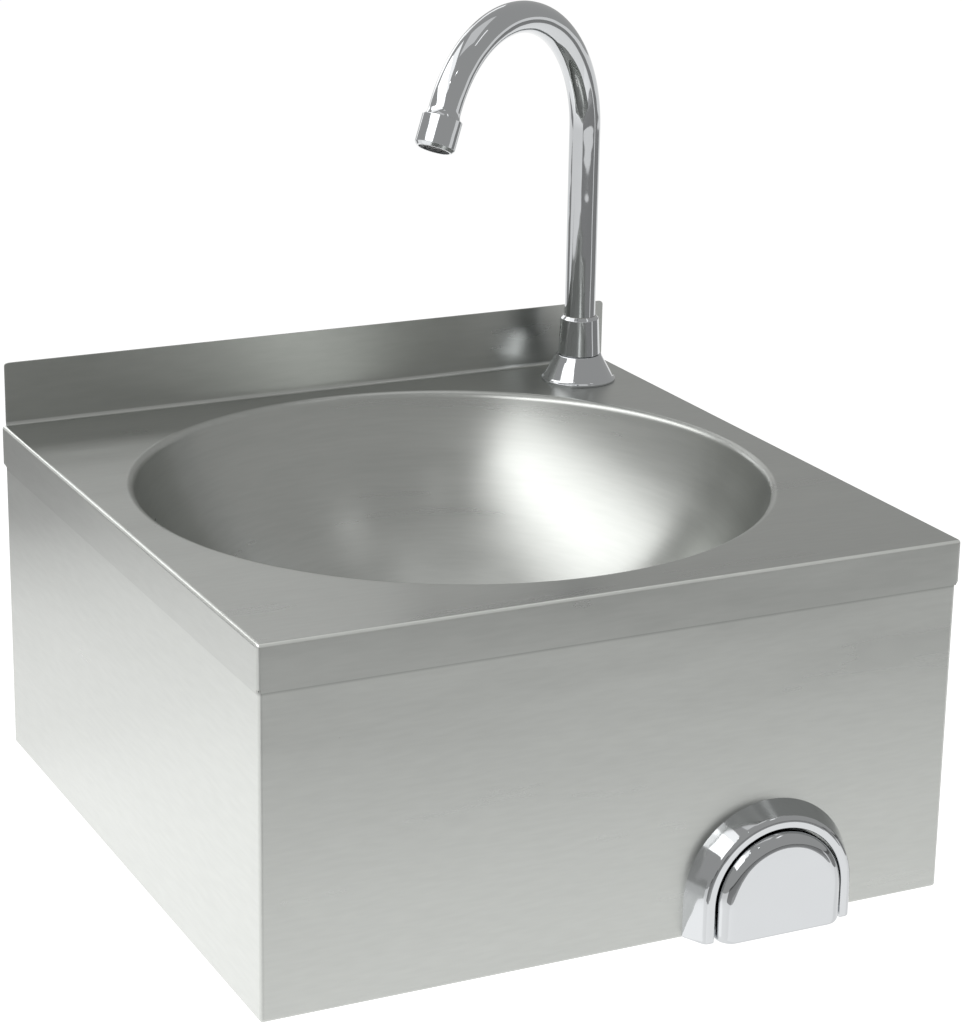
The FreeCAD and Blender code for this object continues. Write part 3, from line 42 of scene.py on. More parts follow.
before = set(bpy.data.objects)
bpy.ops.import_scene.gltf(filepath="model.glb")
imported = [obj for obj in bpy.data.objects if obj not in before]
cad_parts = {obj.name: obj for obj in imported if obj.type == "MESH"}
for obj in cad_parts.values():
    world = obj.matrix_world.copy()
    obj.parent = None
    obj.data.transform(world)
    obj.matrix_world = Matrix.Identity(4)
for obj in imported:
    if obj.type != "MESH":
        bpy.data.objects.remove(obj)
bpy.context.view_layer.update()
MM = 0.001
SHARP_ANGLE = math.radians(35.0)

# Places on the sink in millimetres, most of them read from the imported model
DECK_LEVEL = 100.0
TAP = ((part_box("escutcheon")[0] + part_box("escutcheon")[1]) / 2 / MM).to_tuple(3)
BOWL = ((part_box("bowl")[0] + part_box("bowl")[1]) / 2 / MM).to_tuple(3)
ARCH_X = ((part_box("push_button")[0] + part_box("push_button")[1]) / 2 / MM).x
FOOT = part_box("push_button")[0].z / MM
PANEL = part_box("valve_bezel")[1].y / MM
ARCH_Z = -80.0

# Casing and bowl, in millimetres
SHEET = 1.2
BEND = 2.0
HALF = 200.0
SKIRT_LOW = 75.0
RIM_RADIUS, RIM_ROUND = 181.5, 5.0
BOWL_DEPTH = 130.0
BOWL_SPHERE = (RIM_RADIUS ** 2 / BOWL_DEPTH + BOWL_DEPTH) / 2 - RIM_ROUND
BOWL_MIDDLE_Z = DECK_LEVEL - BOWL_DEPTH + BOWL_SPHERE
STRIP_FRONT = -12.0
UPSTAND_TOP = 138.0
UPSTAND_FOOT = 2.5


# ---- colours, nodes and meshes --------------------------------------------------------

def linear(code):
    """sRGB hex to linear: a value up to 0.04045 is divided by 12.92, above it a 2.4 power."""
    parts = [int(code[i:i + 2], 16) / 255 for i in (0, 2, 4)]
    return tuple(p / 12.92 if p <= 0.04045 else ((p + 0.055) / 1.055) ** 2.4 for p in parts)


def add(tree, kind, settings=None, values=None, links=None):
    """Add a node of that kind with its settings, its sockets' values and what is linked to them."""
    node = tree.nodes.new(kind)
    for name, value in (settings or {}).items():
        setattr(node, name, value)
    for name, value in (values or {}).items():
        node.inputs[name].default_value = value
    for name, output in (links or {}).items():
        tree.links.new(output, node.inputs[name])
    return node


def new_material(name):
    """Node material with only its output node."""
    material = bpy.data.materials.new(name)
    material.use_nodes = True
    tree = material.node_tree
    tree.nodes.clear()
    return material, tree, add(tree, "ShaderNodeOutputMaterial")


def dress(material, *nodes):
    """Give CAD nodes that material in every slot."""
    for name in nodes:
        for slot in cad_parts[name].material_slots:
            slot.material = material


def piece(name, grids, material, body, replaces):
    """Mesh object from grids of points in millimetres.

    Each grid has the shape (rows, columns, 3), and every cell of four neighbours is one face.
    Rows that meet in a pole or a seam are merged, and the closed skin is turned outwards."""
    points, faces, start = [], [], 0
    for grid in grids:
        rows, columns = grid.shape[:2]
        index = np.arange(rows * columns).reshape(rows, columns) + start
        cell = [index[:-1, :-1], index[:-1, 1:], index[1:, 1:], index[1:, :-1]]
        faces.append(np.stack(cell, -1).reshape(-1, 4))
        points.append(grid.reshape(-1, 3))
        start += rows * columns
    mesh = bpy.data.meshes.new(name)
    mesh.from_pydata((np.vstack(points) * MM).tolist(), [], np.vstack(faces).tolist())
    work = bmesh.new()
    work.from_mesh(mesh)
    bmesh.ops.remove_doubles(work, verts=work.verts, dist=2e-6)
    bmesh.ops.dissolve_degenerate(work, edges=work.edges, dist=1e-7)
    bmesh.ops.recalc_face_normals(work, faces=work.faces)
    work.to_mesh(mesh)
    work.free()
    mesh.shade_smooth()
    mesh.set_sharp_from_angle(angle=SHARP_ANGLE)
    mesh.materials.append(material)
    made = bpy.data.objects.new(name, mesh)
    bpy.context.scene.collection.objects.link(made)
    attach(made, body)
    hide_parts(*replaces)
    return made


def rounded(corners, steps=9):
    """Closed outline through (a, b, radius) corners as an array of points.

    A corner's arc touches both sides. Its centre is on the bisector, radius over the sine of
    the half angle away, and the arc blends its two end points by the sines of the angle left
    and the angle done. Two more points stand close to each end of a straight run, so that
    smooth shading keeps the run flat."""
    table = np.array(corners, float)
    here, radius = table[:, :2], table[:, 2:]
    back = np.roll(here, 1, 0) - here
    ahead = np.roll(here, -1, 0) - here
    back /= np.linalg.norm(back, axis=1, keepdims=True)
    ahead /= np.linalg.norm(ahead, axis=1, keepdims=True)
    half = np.arccos(np.clip((back * ahead).sum(1, keepdims=True), -1, 1)) / 2
    middle = back + ahead
    middle /= np.maximum(np.linalg.norm(middle, axis=1, keepdims=True), 1e-9)
    centre = here + middle * radius / np.sin(half)
    reach = radius / np.tan(half)
    first, last = here + back * reach - centre, here + ahead * reach - centre
    sweep = np.maximum(math.pi - 2 * half, 1e-6)
    t = np.linspace(0, 1, steps)
    arc = (centre[:, None] + first[:, None] * (np.sin((1 - t) * sweep) / np.sin(sweep))[..., None]
           + last[:, None] * (np.sin(t * sweep) / np.sin(sweep))[..., None])
    points = arc.reshape(-1, 2)
    keep = np.append(True, np.linalg.norm(np.diff(points, axis=0), axis=1) > 1e-6)
    points = points[keep]
    if np.linalg.norm(points[0] - points[-1]) > 1e-6:
        points = np.vstack([points, points[:1]])
    run = np.diff(points, axis=0)
    length = np.linalg.norm(run, axis=1, keepdims=True)
    edge = np.minimum(0.12, length * 0.2)
    way = run / np.maximum(length, 1e-9)
    three = np.stack([points[:-1], points[:-1] + way * edge, points[1:] - way * edge], 1).reshape(-1, 2)
    return np.vstack([three, points[-1:]])


def turn(profile, centre, out=(1, 0, 0), side=(0, 1, 0), up=(0, 0, 1), steps=128):
    """Surface of revolution of a (radius, height) profile.

    A point is the centre plus height along up plus radius times (cos out + sin side)."""
    angle = np.radians(np.linspace(0.0, 360.0, steps + 1))
    ring = np.cos(angle)[:, None] * np.array(out, float) + np.sin(angle)[:, None] * np.array(side, float)
    return (np.array(centre, float) + profile[:, None, :1] * ring[None]
            + profile[:, None, 1:] * np.array(up, float))


# ---- materials ------------------------------------------------------------------------

GRAIN_LONG, GRAIN_CROSS = 60.7, 411.3
CLOUD_SHARE = 0.09
BOWL_ARC_RADIUS = 0.12
JOINT_SHADE = 0.55
# Gain of the painted highlight on the deck's outer bends
BEND_HIGHLIGHT_GAIN = 0.85


def maths(tree, operation, values=None, links=None):
    """Output of one Math node."""
    return add(tree, "ShaderNodeMath", {"operation": operation}, values, links).outputs[0]


def vectors(tree, operation, values=None, links=None):
    """Vector output of one Vector Math node."""
    return add(tree, "ShaderNodeVectorMath", {"operation": operation}, values, links).outputs[0]


def remap(tree, value, before, after=(0.0, 1.0)):
    """Value carried from one range to another and held at its ends."""
    limits = {"From Min": before[0], "From Max": before[1], "To Min": after[0], "To Max": after[1]}
    return add(tree, "ShaderNodeMapRange", values=limits, links={"Value": value}).outputs[0]


def sheet_grain(tree, place):
    """Grain coordinates and direction of folded sheet: along Y on its sides, along X elsewhere."""
    facing = add(tree, "ShaderNodeSeparateXYZ", links={"Vector": place.outputs["Normal"]})
    sideways = maths(tree, "ABSOLUTE", links={0: facing.outputs["X"]})
    is_side = maths(tree, "GREATER_THAN", {1: 0.7}, {0: sideways})
    way = add(tree, "ShaderNodeMix", {"data_type": "VECTOR"}, {4: (1, 0, 0), 5: (0, 1, 0)},
              {"Factor": is_side}).outputs[1]
    along_x = vectors(tree, "MULTIPLY", {1: (GRAIN_LONG, GRAIN_CROSS, GRAIN_CROSS)},
                      {0: place.outputs["Object"]})
    along_y = vectors(tree, "MULTIPLY", {1: (GRAIN_CROSS, GRAIN_LONG, GRAIN_CROSS)},
                      {0: place.outputs["Object"]})
    where = add(tree, "ShaderNodeMix", {"data_type": "VECTOR"},
                links={"Factor": is_side, 4: along_x, 5: along_y}).outputs[1]
    return where, way


def bowl_grain(tree, place):
    """Grain coordinates and direction of the bowl: its arc round the axis, its reach and height."""
    spot = vectors(tree, "SUBTRACT", {1: (0.0, BOWL[1] * MM, 0.0)}, {0: place.outputs["Object"]})
    way = vectors(tree, "CROSS_PRODUCT", {0: (0, 0, 1)}, {1: spot})
    part = add(tree, "ShaderNodeSeparateXYZ", links={0: spot})
    angle = maths(tree, "ARCTAN2", links={0: part.outputs["X"], 1: part.outputs["Y"]})
    arc = maths(tree, "MULTIPLY", {1: BOWL_ARC_RADIUS}, {0: angle})
    reach = add(tree, "ShaderNodeVectorMath", {"operation": "LENGTH"}, links={0: spot})
    polar = add(tree, "ShaderNodeCombineXYZ",
                links={0: arc, 1: reach.outputs["Value"], 2: part.outputs["Z"]})
    where = vectors(tree, "MULTIPLY", {1: (GRAIN_LONG, GRAIN_CROSS, GRAIN_CROSS)},
                    {0: polar.outputs[0]})
    return where, way


def skirt_shade(tree, place):
    """Factor that darkens the panel in the last 2 mm below the skirt, where the joint between
    both sheets holds back the light."""
    spot = add(tree, "ShaderNodeSeparateXYZ", links={"Vector": place.outputs["Object"]})
    joint = ((SKIRT_LOW - 2.0) * MM, SKIRT_LOW * MM)
    return remap(tree, spot.outputs["Z"], joint, (1.0, JOINT_SHADE))


def painted_bend_highlight(tree, place):
    """Factor that brightens the outer bends with a painted highlight, a bright line painted into the
    colour in place of the light they catch: past the flat, and where the normal has left the skirt's and
    not yet reached the deck's."""
    spot = add(tree, "ShaderNodeSeparateXYZ", links={"Vector": place.outputs["Object"]})
    lean = add(tree, "ShaderNodeSeparateXYZ", links={"Vector": place.outputs["Normal"]})
    from_side = maths(tree, "ABSOLUTE", links={0: spot.outputs["X"]})
    from_front = maths(tree, "MULTIPLY_ADD", {1: -1.0, 2: -HALF * MM}, {0: spot.outputs["Y"]})
    outermost = maths(tree, "MAXIMUM", links={0: from_side, 1: from_front})
    at_edge = maths(tree, "GREATER_THAN", {1: (HALF - BEND) * MM}, {0: outermost})
    off_skirt = remap(tree, lean.outputs["Z"], (0.1, 0.4))
    off_deck = remap(tree, lean.outputs["Z"], (0.97, 0.85))
    on_bend = maths(tree, "MULTIPLY", links={0: off_skirt, 1: off_deck})
    # Mask of the outer bends that receive the painted highlight
    highlighted_bend = maths(tree, "MULTIPLY", links={0: on_bend, 1: at_edge})
    return maths(tree, "MULTIPLY_ADD", {1: BEND_HIGHLIGHT_GAIN, 2: 1.0}, {0: highlighted_bend})


def satin_steel(name, colour, roughness, grain=sheet_grain, shade=None):
    """Austenitic stainless sheet, ground to a satin grain.

    The belt leaves short parallel scratches, along X on faces that look up or forwards, along
    Y on the sides and round the bowl's axis in the bowl. They spread reflections across
    themselves, so the gloss is anisotropic, and slow clouds of stronger and weaker grinding
    give the sheet its uneven sheen. A shade function's factor paints shade or a highlight into places."""
    material, tree, output = new_material(name)
    place = add(tree, "ShaderNodeTexCoord")
    where, grain_way = grain(tree, place)
    surface = add(tree, "ShaderNodeNewGeometry")
    across = vectors(tree, "CROSS_PRODUCT", links={0: surface.outputs["Normal"], 1: grain_way})
    scratches = add(tree, "ShaderNodeTexNoise", values={"Scale": 1.0, "Detail": 1.0, "Roughness": 0.5},
                    links={"Vector": where})
    drawn_out = vectors(tree, "MULTIPLY", {1: (CLOUD_SHARE,) * 3}, {0: where})
    cloud = add(tree, "ShaderNodeTexNoise", values={"Scale": 1.0, "Detail": 4.0, "Roughness": 0.6},
                links={"Vector": drawn_out}).outputs["Fac"]
    rough = remap(tree, cloud, (0.3, 0.7), (roughness - 0.035, roughness + 0.035))
    tint = add(tree, "ShaderNodeMix", {"data_type": "RGBA"},
               {6: (*[c * 0.95 for c in colour], 1.0), 7: (*[c * 1.05 for c in colour], 1.0)},
               {"Factor": remap(tree, cloud, (0.25, 0.75))})
    strength = remap(tree, scratches.outputs["Fac"], (0.3, 0.7), (0.98, 1.02))
    if shade:
        strength = maths(tree, "MULTIPLY", links={0: strength, 1: shade(tree, place)})
    paint = add(tree, "ShaderNodeVectorMath", {"operation": "SCALE"},
                links={0: tint.outputs[2], "Scale": strength})
    shader = add(tree, "ShaderNodeBsdfPrincipled", values={"Metallic": 1.0, "Anisotropic": 0.5},
                 links={"Base Color": paint.outputs[0], "Roughness": rough, "Tangent": across})
    tree.links.new(shader.outputs[0], output.inputs[0])
    return material


def plated(name, colour, roughness):
    """Polished metal: a mirror whose buffing left faint waves, which bend what it reflects."""
    material, tree, output = new_material(name)
    place = add(tree, "ShaderNodeTexCoord")
    cloud = add(tree, "ShaderNodeTexNoise", values={"Scale": 120.0, "Detail": 3.0},
                links={"Vector": place.outputs["Object"]})
    rough = remap(tree, cloud.outputs["Fac"], (0.0, 1.0), (roughness * 0.7, roughness * 1.3))
    wave = add(tree, "ShaderNodeTexNoise", values={"Scale": 45.0, "Detail": 1.0},
               links={"Vector": place.outputs["Object"]})
    bump = add(tree, "ShaderNodeBump", values={"Strength": 0.4, "Distance": 0.001},
               links={"Height": wave.outputs["Fac"]})
    shader = add(tree, "ShaderNodeBsdfPrincipled",
                 values={"Base Color": (*colour, 1.0), "Metallic": 1.0},
                 links={"Roughness": rough, "Normal": bump.outputs[0]})
    tree.links.new(shader.outputs[0], output.inputs[0])
    return material


def moulded(name, colour, roughness):
    """Rubber, plastic or fibre with a fine grain from its mould."""
    material, tree, output = new_material(name)
    place = add(tree, "ShaderNodeTexCoord")
    grain = add(tree, "ShaderNodeTexNoise", values={"Scale": 900.0, "Detail": 3.0},
                links={"Vector": place.outputs["Object"]})
    bump = add(tree, "ShaderNodeBump", values={"Strength": 0.2, "Distance": 0.0002},
               links={"Height": grain.outputs["Fac"]})
    shader = add(tree, "ShaderNodeBsdfPrincipled",
                 values={"Base Color": (*colour, 1.0), "Roughness": roughness},
                 links={"Normal": bump.outputs[0]})
    tree.links.new(shader.outputs[0], output.inputs[0])
    return material


# ---- settings -------------------------------------------------------------------------

class SinkFinish(bpy.types.PropertyGroup):
    steel_colour: FloatVectorProperty(name="Satin steel", description="Colour of the ground sheet",
                                      default=linear("B6B8B5"), subtype="COLOR", min=0, max=1)
    steel_roughness: FloatProperty(name="Satin roughness", description="How much the ground sheet blurs",
                                   default=0.30, min=0, max=1, subtype="FACTOR")
    panel_tone: FloatProperty(name="Panel tone",
                              description="How much lighter the panels are than the deck",
                              default=1.11, min=0.5, max=1.5)
    chrome_colour: FloatVectorProperty(name="Chrome", description="Colour of the plated parts",
                                       default=linear("C0C2C4"), subtype="COLOR", min=0, max=1)
    chrome_roughness: FloatProperty(name="Chrome roughness", description="How much the plating blurs",
                                    default=0.05, min=0, max=1, subtype="FACTOR")


class SinkSizes(bpy.types.PropertyGroup):
    spout_radius: FloatProperty(name="Spout radius", description="Outer radius of the bent tube, in mm",
                                default=9.5, min=5)
    round_steps: IntProperty(name="Steps round", description="Faces round a turned piece",
                             default=128, min=24)


def finish_of(context):
    """The scene's finish settings."""
    return context.scene.sink_finish


def chrome_of(context):
    """The one chrome material, made when a piece first asks for it."""
    name = "chromium_plated_brass"
    made = bpy.data.materials.get(name)
    finish = finish_of(context)
    return made or plated(name, tuple(finish.chrome_colour), finish.chrome_roughness)


def drawn_steel():
    """The one bright steel of the small drawn parts."""
    name = "bright_drawn_steel"
    return bpy.data.materials.get(name) or plated(name, linear("BDBDBA"), 0.25)


# ---- tap ------------------------------------------------------------------------------

SPOUT_HEADING = math.radians(208.6)
SPOUT_SWEEP = math.radians(154.3)
BEND_RADIUS = 76.3
LEG_FOOT, LEG_TOP = 41.0, 158.0
TUBE_BORE = 8.3
FLARE = 1.3
FLARE_START, AERATOR_START = 3.5, 6.5
TUBE_END = 12.0
AERATOR_LENGTH = 18.6


def spout_ways():
    """The spout's plane: towards the outlet, across it and up."""
    out = np.array([math.cos(SPOUT_HEADING), math.sin(SPOUT_HEADING), 0.0])
    return out, np.array([-out[1], out[0], 0.0]), np.array([0.0, 0.0, 1.0])


def spout_line(along):
    """Centre line and its outward normal, for lengths along it in mm.

    The leg is straight up. The bend turns about a point one bend radius towards the outlet:
    a point on it is that point minus cos times out plus sin times up. After the bend the
    line runs on straight."""
    out, _, up = spout_ways()
    base = np.array([TAP[0], TAP[1], DECK_LEVEL])
    leg = LEG_TOP - LEG_FOOT
    angle = np.clip((along - leg) / BEND_RADIUS, 0, SPOUT_SWEEP)[:, None]
    before = np.minimum(along, leg)[:, None]
    after = np.maximum(along - leg - BEND_RADIUS * SPOUT_SWEEP, 0)[:, None]
    outward = np.sin(angle) * up - np.cos(angle) * out
    onward = np.cos(angle) * up + np.sin(angle) * out
    pivot = base + up * LEG_TOP + out * BEND_RADIUS
    line = pivot + outward * BEND_RADIUS + onward * after
    line = np.where(along[:, None] < leg, base + up * (LEG_FOOT + before), line)
    return line, outward


def sweep_ring(line, outward, radius, steps):
    """Tube round a line: each point adds radius times (cos outward + sin across).

    Across is square to the spout's plane. The radius may change along the line and round it."""
    _, across, _ = spout_ways()
    angle = np.linspace(0, 2 * math.pi, steps + 1)[None, :, None]
    return line[:, None] + radius * (np.cos(angle) * outward[:, None] + np.sin(angle) * across)


class SINK_OT_spout(bpy.types.Operator):
    """Bent tube with a flared lip at its outlet"""
    bl_idname = "sink.spout"
    bl_label = "Spout tube"

    def execute(self, context):
        steps = context.scene.sink_sizes.round_steps
        radius = context.scene.sink_sizes.spout_radius
        bend_end = LEG_TOP - LEG_FOOT + BEND_RADIUS * SPOUT_SWEEP
        leg_length = LEG_TOP - LEG_FOOT
        leg = np.linspace(0, leg_length, 30)
        bend = np.linspace(leg_length, bend_end, 160)
        straight = bend_end + np.linspace(0, AERATOR_START - 0.05, 14)
        along = np.unique(np.concatenate([leg, bend, straight]))
        line, outward = spout_line(along)
        flare_run = AERATOR_START - FLARE_START + 1.5
        flare = FLARE * np.clip((along - bend_end - FLARE_START + 1.5) / flare_run, 0, 1) ** 2
        # Bending flattens a tube a little across its plane, most in the middle of the bend
        round_way = np.cos(np.linspace(0, 2 * math.pi, steps + 1))[None, :]
        in_bend = np.sin(np.clip((along - leg_length) / (bend_end - leg_length), 0, 1) * math.pi)
        oval = 1 - 0.012 * in_bend[:, None] * round_way ** 2
        outer = sweep_ring(line, outward, (radius * oval + flare[:, None])[..., None], steps)
        step_end = np.array([AERATOR_START, AERATOR_START, TUBE_END, TUBE_END])
        end_line, end_outward = spout_line(bend_end + step_end)
        end_radius = np.array([radius + FLARE, radius, radius, TUBE_BORE])[:, None, None]
        end = sweep_ring(end_line, end_outward, end_radius, steps)
        inner_along = np.unique(np.concatenate([leg, bend, [bend_end + TUBE_END]]))[::-1]
        inner_line, inner_outward = spout_line(inner_along)
        bore = np.full((len(inner_along), 1, 1), TUBE_BORE)
        inner = sweep_ring(inner_line, inner_outward, bore, steps)
        foot = sweep_ring(line[:1], outward[:1], np.array([[[TUBE_BORE]]]), steps)
        skin = np.concatenate([foot, outer, end, inner])
        piece("spout_tube_bent", [skin], chrome_of(context), "spout", ["spout_tube"])
        return {"FINISHED"}


class SINK_OT_tap_foot(bpy.types.Operator):
    """Conical collar on the deck and the bell cover round its foot"""
    bl_idname = "sink.tap_foot"
    bl_label = "Collar and bell"

    def execute(self, context):
        steps = context.scene.sink_sizes.round_steps
        centre = (TAP[0], TAP[1], DECK_LEVEL)
        collar = rounded([
            (9.56, 41.0, 0.15), (10.0, 41.0, 0.35), (11.8, 39.2, 0.6), (13.0, 16.6, 0.4),
            (12.2, 16.6, 0), (12.2, 5.0, 0), (17.0, 5.0, 1.0), (17.0, 1.5, 0), (10.4, 1.5, 0),
            (10.4, -48.0, 1.0), (6.0, -48.0, 0), (6.0, 8.0, 0), (9.56, 8.0, 0),
        ])
        chrome = chrome_of(context)
        piece("tap_collar_turned", [turn(collar, centre, steps=steps)], chrome, "basin",
              ["tap_body"])
        bell = rounded([
            (23.0, 0.0, 0.3), (23.0, 1.3, 0.5), (21.6, 2.3, 3.0), (15.6, 13.2, 4.0), (13.9, 16.4, 0.9),
            (12.25, 16.5, 0.2), (12.25, 15.0, 0), (13.6, 12.4, 3.0), (19.9, 2.6, 2.0), (21.4, 0.0, 0),
        ])
        piece("bell_cover_spun", [turn(bell, centre, steps=steps)], chrome, "basin",
              ["escutcheon"])
        return {"FINISHED"}


class SINK_OT_aerator(bpy.types.Operator):
    """Screwed sleeve at the outlet"""
    bl_idname = "sink.aerator"
    bl_label = "Aerator sleeve"

    def execute(self, context):
        steps = context.scene.sink_sizes.round_steps
        bend_end = LEG_TOP - LEG_FOOT + BEND_RADIUS * SPOUT_SWEEP
        start, end = AERATOR_START, AERATOR_START + AERATOR_LENGTH
        profile = rounded([
            (9.5, start, 0), (11.95, start, 0.45), (11.95, end - 1.9, 0.35), (10.5, end, 0.25),
            (9.2, end, 0.2), (9.2, end - 1.2, 0), (10.0, end - 1.2, 0), (10.0, TUBE_END, 0),
            (9.5, TUBE_END, 0),
        ])
        line, outward = spout_line(np.array([bend_end, bend_end + 10.0]))
        _, across, _ = spout_ways()
        up = (line[1] - line[0]) / 10.0
        piece("aerator_sleeve_turned", [turn(profile, line[0], outward[0], across, up, steps)],
              chrome_of(context), "spout", ["aerator_housing"])
        return {"FINISHED"}


# ---- knee valve -----------------------------------------------------------------------

BEZEL_DEPTH = 13.2
BEZEL_FOOT, BEZEL_LIP, BEZEL_BORE = 50.4, 44.2, 38.4
BEZEL_LIP_ROUND, BEZEL_BORE_ROUND, BEZEL_END_ROUND = 3.6, 0.6, 0.8
BUTTON_RADIUS, BUTTON_DEPTH, BUTTON_WALL = 37.3, 10.1, 2.0
BUTTON_EDGE = 7.5
BOSS_LOW, BOSS_HIGH, BOSS_BORE, BOSS_RADIUS, BOSS_Z = 1.0, 5.4, 3.0, 7.0, -72.0


def arch_sweep(profile, foot, end_round, leg_rows=14, arch_rows=96):
    """Profile of (distance from the arch's middle, y) carried up a leg, round the half circle
    and down the other leg.

    On a leg a point is the distance left or right of the middle at its own height, and on
    the half circle the distance turns with cos and sin. Towards the feet the profile draws
    in to its middle on a quarter circle of end_round."""
    rise = np.linspace(0, 1, leg_rows)
    near = foot + end_round * (1 - np.cos(rise * math.pi / 2))
    straight = np.linspace(foot + end_round, ARCH_Z, leg_rows)[1:]
    height = np.concatenate([near, straight])
    middle = profile.mean(0)
    half_width = (profile[:, 0].max() - profile[:, 0].min()) / 2
    depth_in = np.clip(1 - (height - foot) / end_round, 0, 1)
    shrink = 1 - end_round / half_width * (1 - np.sqrt(1 - depth_in ** 2))
    leg = middle + (profile[None] - middle) * shrink[:, None, None]
    angle = np.radians(np.linspace(0, 180, arch_rows + 1))[1:-1, None]
    tall = np.repeat(height[:, None], len(profile), 1)
    left = np.stack([ARCH_X - leg[..., 0], leg[..., 1], tall], -1)
    right = np.stack([ARCH_X + leg[..., 0], leg[..., 1], tall], -1)[::-1]
    depth = np.broadcast_to(profile[:, 1], (len(angle), len(profile)))
    arch = np.stack([ARCH_X - profile[:, 0] * np.cos(angle), depth,
                     ARCH_Z + profile[:, 0] * np.sin(angle)], -1)
    skin = np.concatenate([left, arch, right])
    caps = [np.stack([row, np.broadcast_to(row.mean(0), row.shape)]) for row in (skin[0], skin[-1])]
    return [skin] + caps


class SINK_OT_bezel(bpy.types.Operator):
    """Cast arch with a tapering wall and a rounded lip"""
    bl_idname = "sink.bezel"
    bl_label = "Bezel"

    def execute(self, context):
        front = PANEL - BEZEL_DEPTH
        profile = rounded([
            (BEZEL_FOOT, PANEL, 0), (BEZEL_LIP, front, BEZEL_LIP_ROUND),
            (BEZEL_BORE, front, BEZEL_BORE_ROUND), (BEZEL_BORE, PANEL, 0),
        ])
        piece("bezel_cast", arch_sweep(profile, FOOT, BEZEL_END_ROUND), chrome_of(context), "basin",
              ["valve_bezel"])
        return {"FINISHED"}


def button_skin(radius, foot, corner, face, rear, edge, foot_edge):
    """Outer skin of a D: horizontal slices up to the arch's middle, then a half turn.

    A slice runs from the rear up one side wall, over the edge's quarter circle and across the
    face to the other side. Near the foot the slices narrow on the corner's circle and draw
    back on the foot edge's circle. The half turn carries one half of the top slice round."""
    arc = np.linspace(0, math.pi / 2, 17)
    wall = np.stack([np.full(5, radius), rear + (face + edge - rear) * np.linspace(0, 0.985, 5)], -1)
    rim = np.stack([radius - edge + edge * np.cos(arc), face + edge - edge * np.sin(arc)], -1)
    flat = np.stack([(radius - edge) * np.linspace(0.985, 0, 12), np.full(12, face)], -1)
    half = np.vstack([wall, rim, flat])
    angle = np.radians(np.linspace(0, 180, 97))[:, None]
    top = np.stack([ARCH_X - half[:, 0] * np.cos(angle), np.broadcast_to(half[:, 1], (97, len(half))),
                    ARCH_Z + half[:, 0] * np.sin(angle)], -1)
    in_corner = np.linspace(0, 1, 12) ** 2 * corner
    rows = np.concatenate([in_corner, np.linspace(corner, ARCH_Z - foot, 12)[1:]])
    inset = corner - np.sqrt(np.maximum(corner ** 2 - np.maximum(corner - rows, 0) ** 2, 0))
    drawn = foot_edge - np.sqrt(np.maximum(foot_edge ** 2 - np.maximum(foot_edge - rows, 0) ** 2, 0))
    whole = np.vstack([half * (-1, 1), half[::-1][1:]])
    share = 1 - inset / radius
    back = (rear - whole[None, :, 1]) / (rear - face)
    low = np.stack([ARCH_X + whole[None, :, 0] * share[:, None],
                    whole[None, :, 1] + drawn[:, None] * back,
                    np.broadcast_to((foot + rows)[:, None], (len(rows), len(whole)))], -1)
    floor = np.stack([low[0], low[0] * (1, 0, 1) + (0, rear, 0)])
    return [top, low, floor]


class SINK_OT_button(bpy.types.Operator):
    """D-shaped knee button: a cast shell with a deep round along its edge"""
    bl_idname = "sink.button"
    bl_label = "Knee button"

    def execute(self, context):
        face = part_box("push_button")[0].y / MM
        rear = face + BUTTON_DEPTH
        outer = button_skin(BUTTON_RADIUS, FOOT, 3.0, face, rear, BUTTON_EDGE, 0.9)
        inner = button_skin(BUTTON_RADIUS - BUTTON_WALL, FOOT + BUTTON_WALL, 2.0, face + BUTTON_WALL,
                            rear, BUTTON_EDGE - BUTTON_WALL, 0.2)
        rims = [np.stack([a[:, 0], b[:, 0]]) for a, b in zip(outer[:2], inner[:2])]
        rims.append(np.stack([outer[1][:, -1], inner[1][:, -1]]))
        rims.append(np.stack([outer[2][1], inner[2][1]]))
        ring = rounded([(BOSS_BORE, BOSS_LOW, 0), (BOSS_RADIUS, BOSS_LOW, 0),
                        (BOSS_RADIUS, BOSS_HIGH, 0.3), (BOSS_BORE, BOSS_HIGH, 0)])
        boss = turn(ring, (ARCH_X, face, BOSS_Z), up=(0, 1, 0), side=(0, 0, 1), steps=48)
        piece("knee_button_cast", outer + inner + rims + [boss], chrome_of(context), "knee_button",
              ["push_button"])
        return {"FINISHED"}


class SINK_OT_spring(bpy.types.Operator):
    """Return spring at the length that it has behind the pressed button, so that it clears the
    button over its whole travel"""
    bl_idname = "sink.spring"
    bl_label = "Return spring"

    def execute(self, context):
        wire, radius, turns, travel = 0.6, 13.2, 2.5, 8.0
        gap_to_button, gap_to_nut = 0.25, 0.1
        low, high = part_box("return_spring")
        near = low.y / MM + travel + wire + gap_to_button
        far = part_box("valve_front_nut")[0].y / MM - wire - gap_to_nut
        middle = (low + high) / 2 / MM
        # Helix: radius times (cos, sin) square to Y, and a steady climb along Y. Round the wire a
        # point adds cos outward plus sin along Y.
        angle = np.linspace(0, turns * 2 * math.pi, 181)[:, None]
        outward = np.concatenate([np.cos(angle), 0 * angle, np.sin(angle)], 1)
        line = np.array([middle.x, near, middle.z]) + radius * outward
        line[:, 1] += (far - near) * angle[:, 0] / angle[-1, 0]
        around = np.linspace(0, 2 * math.pi, 17)[None, :, None]
        ring = np.cos(around) * outward[:, None] + np.sin(around) * np.array([0, 1.0, 0])
        coil = line[:, None] + wire * ring
        ends = [np.stack([coil[row], np.broadcast_to(line[row], coil[row].shape)]) for row in (0, -1)]
        piece("return_spring_wound", [coil] + ends, drawn_steel(), "basin",
              ["return_spring"])
        return {"FINISHED"}


# ---- casing and bowl ------------------------------------------------------------------

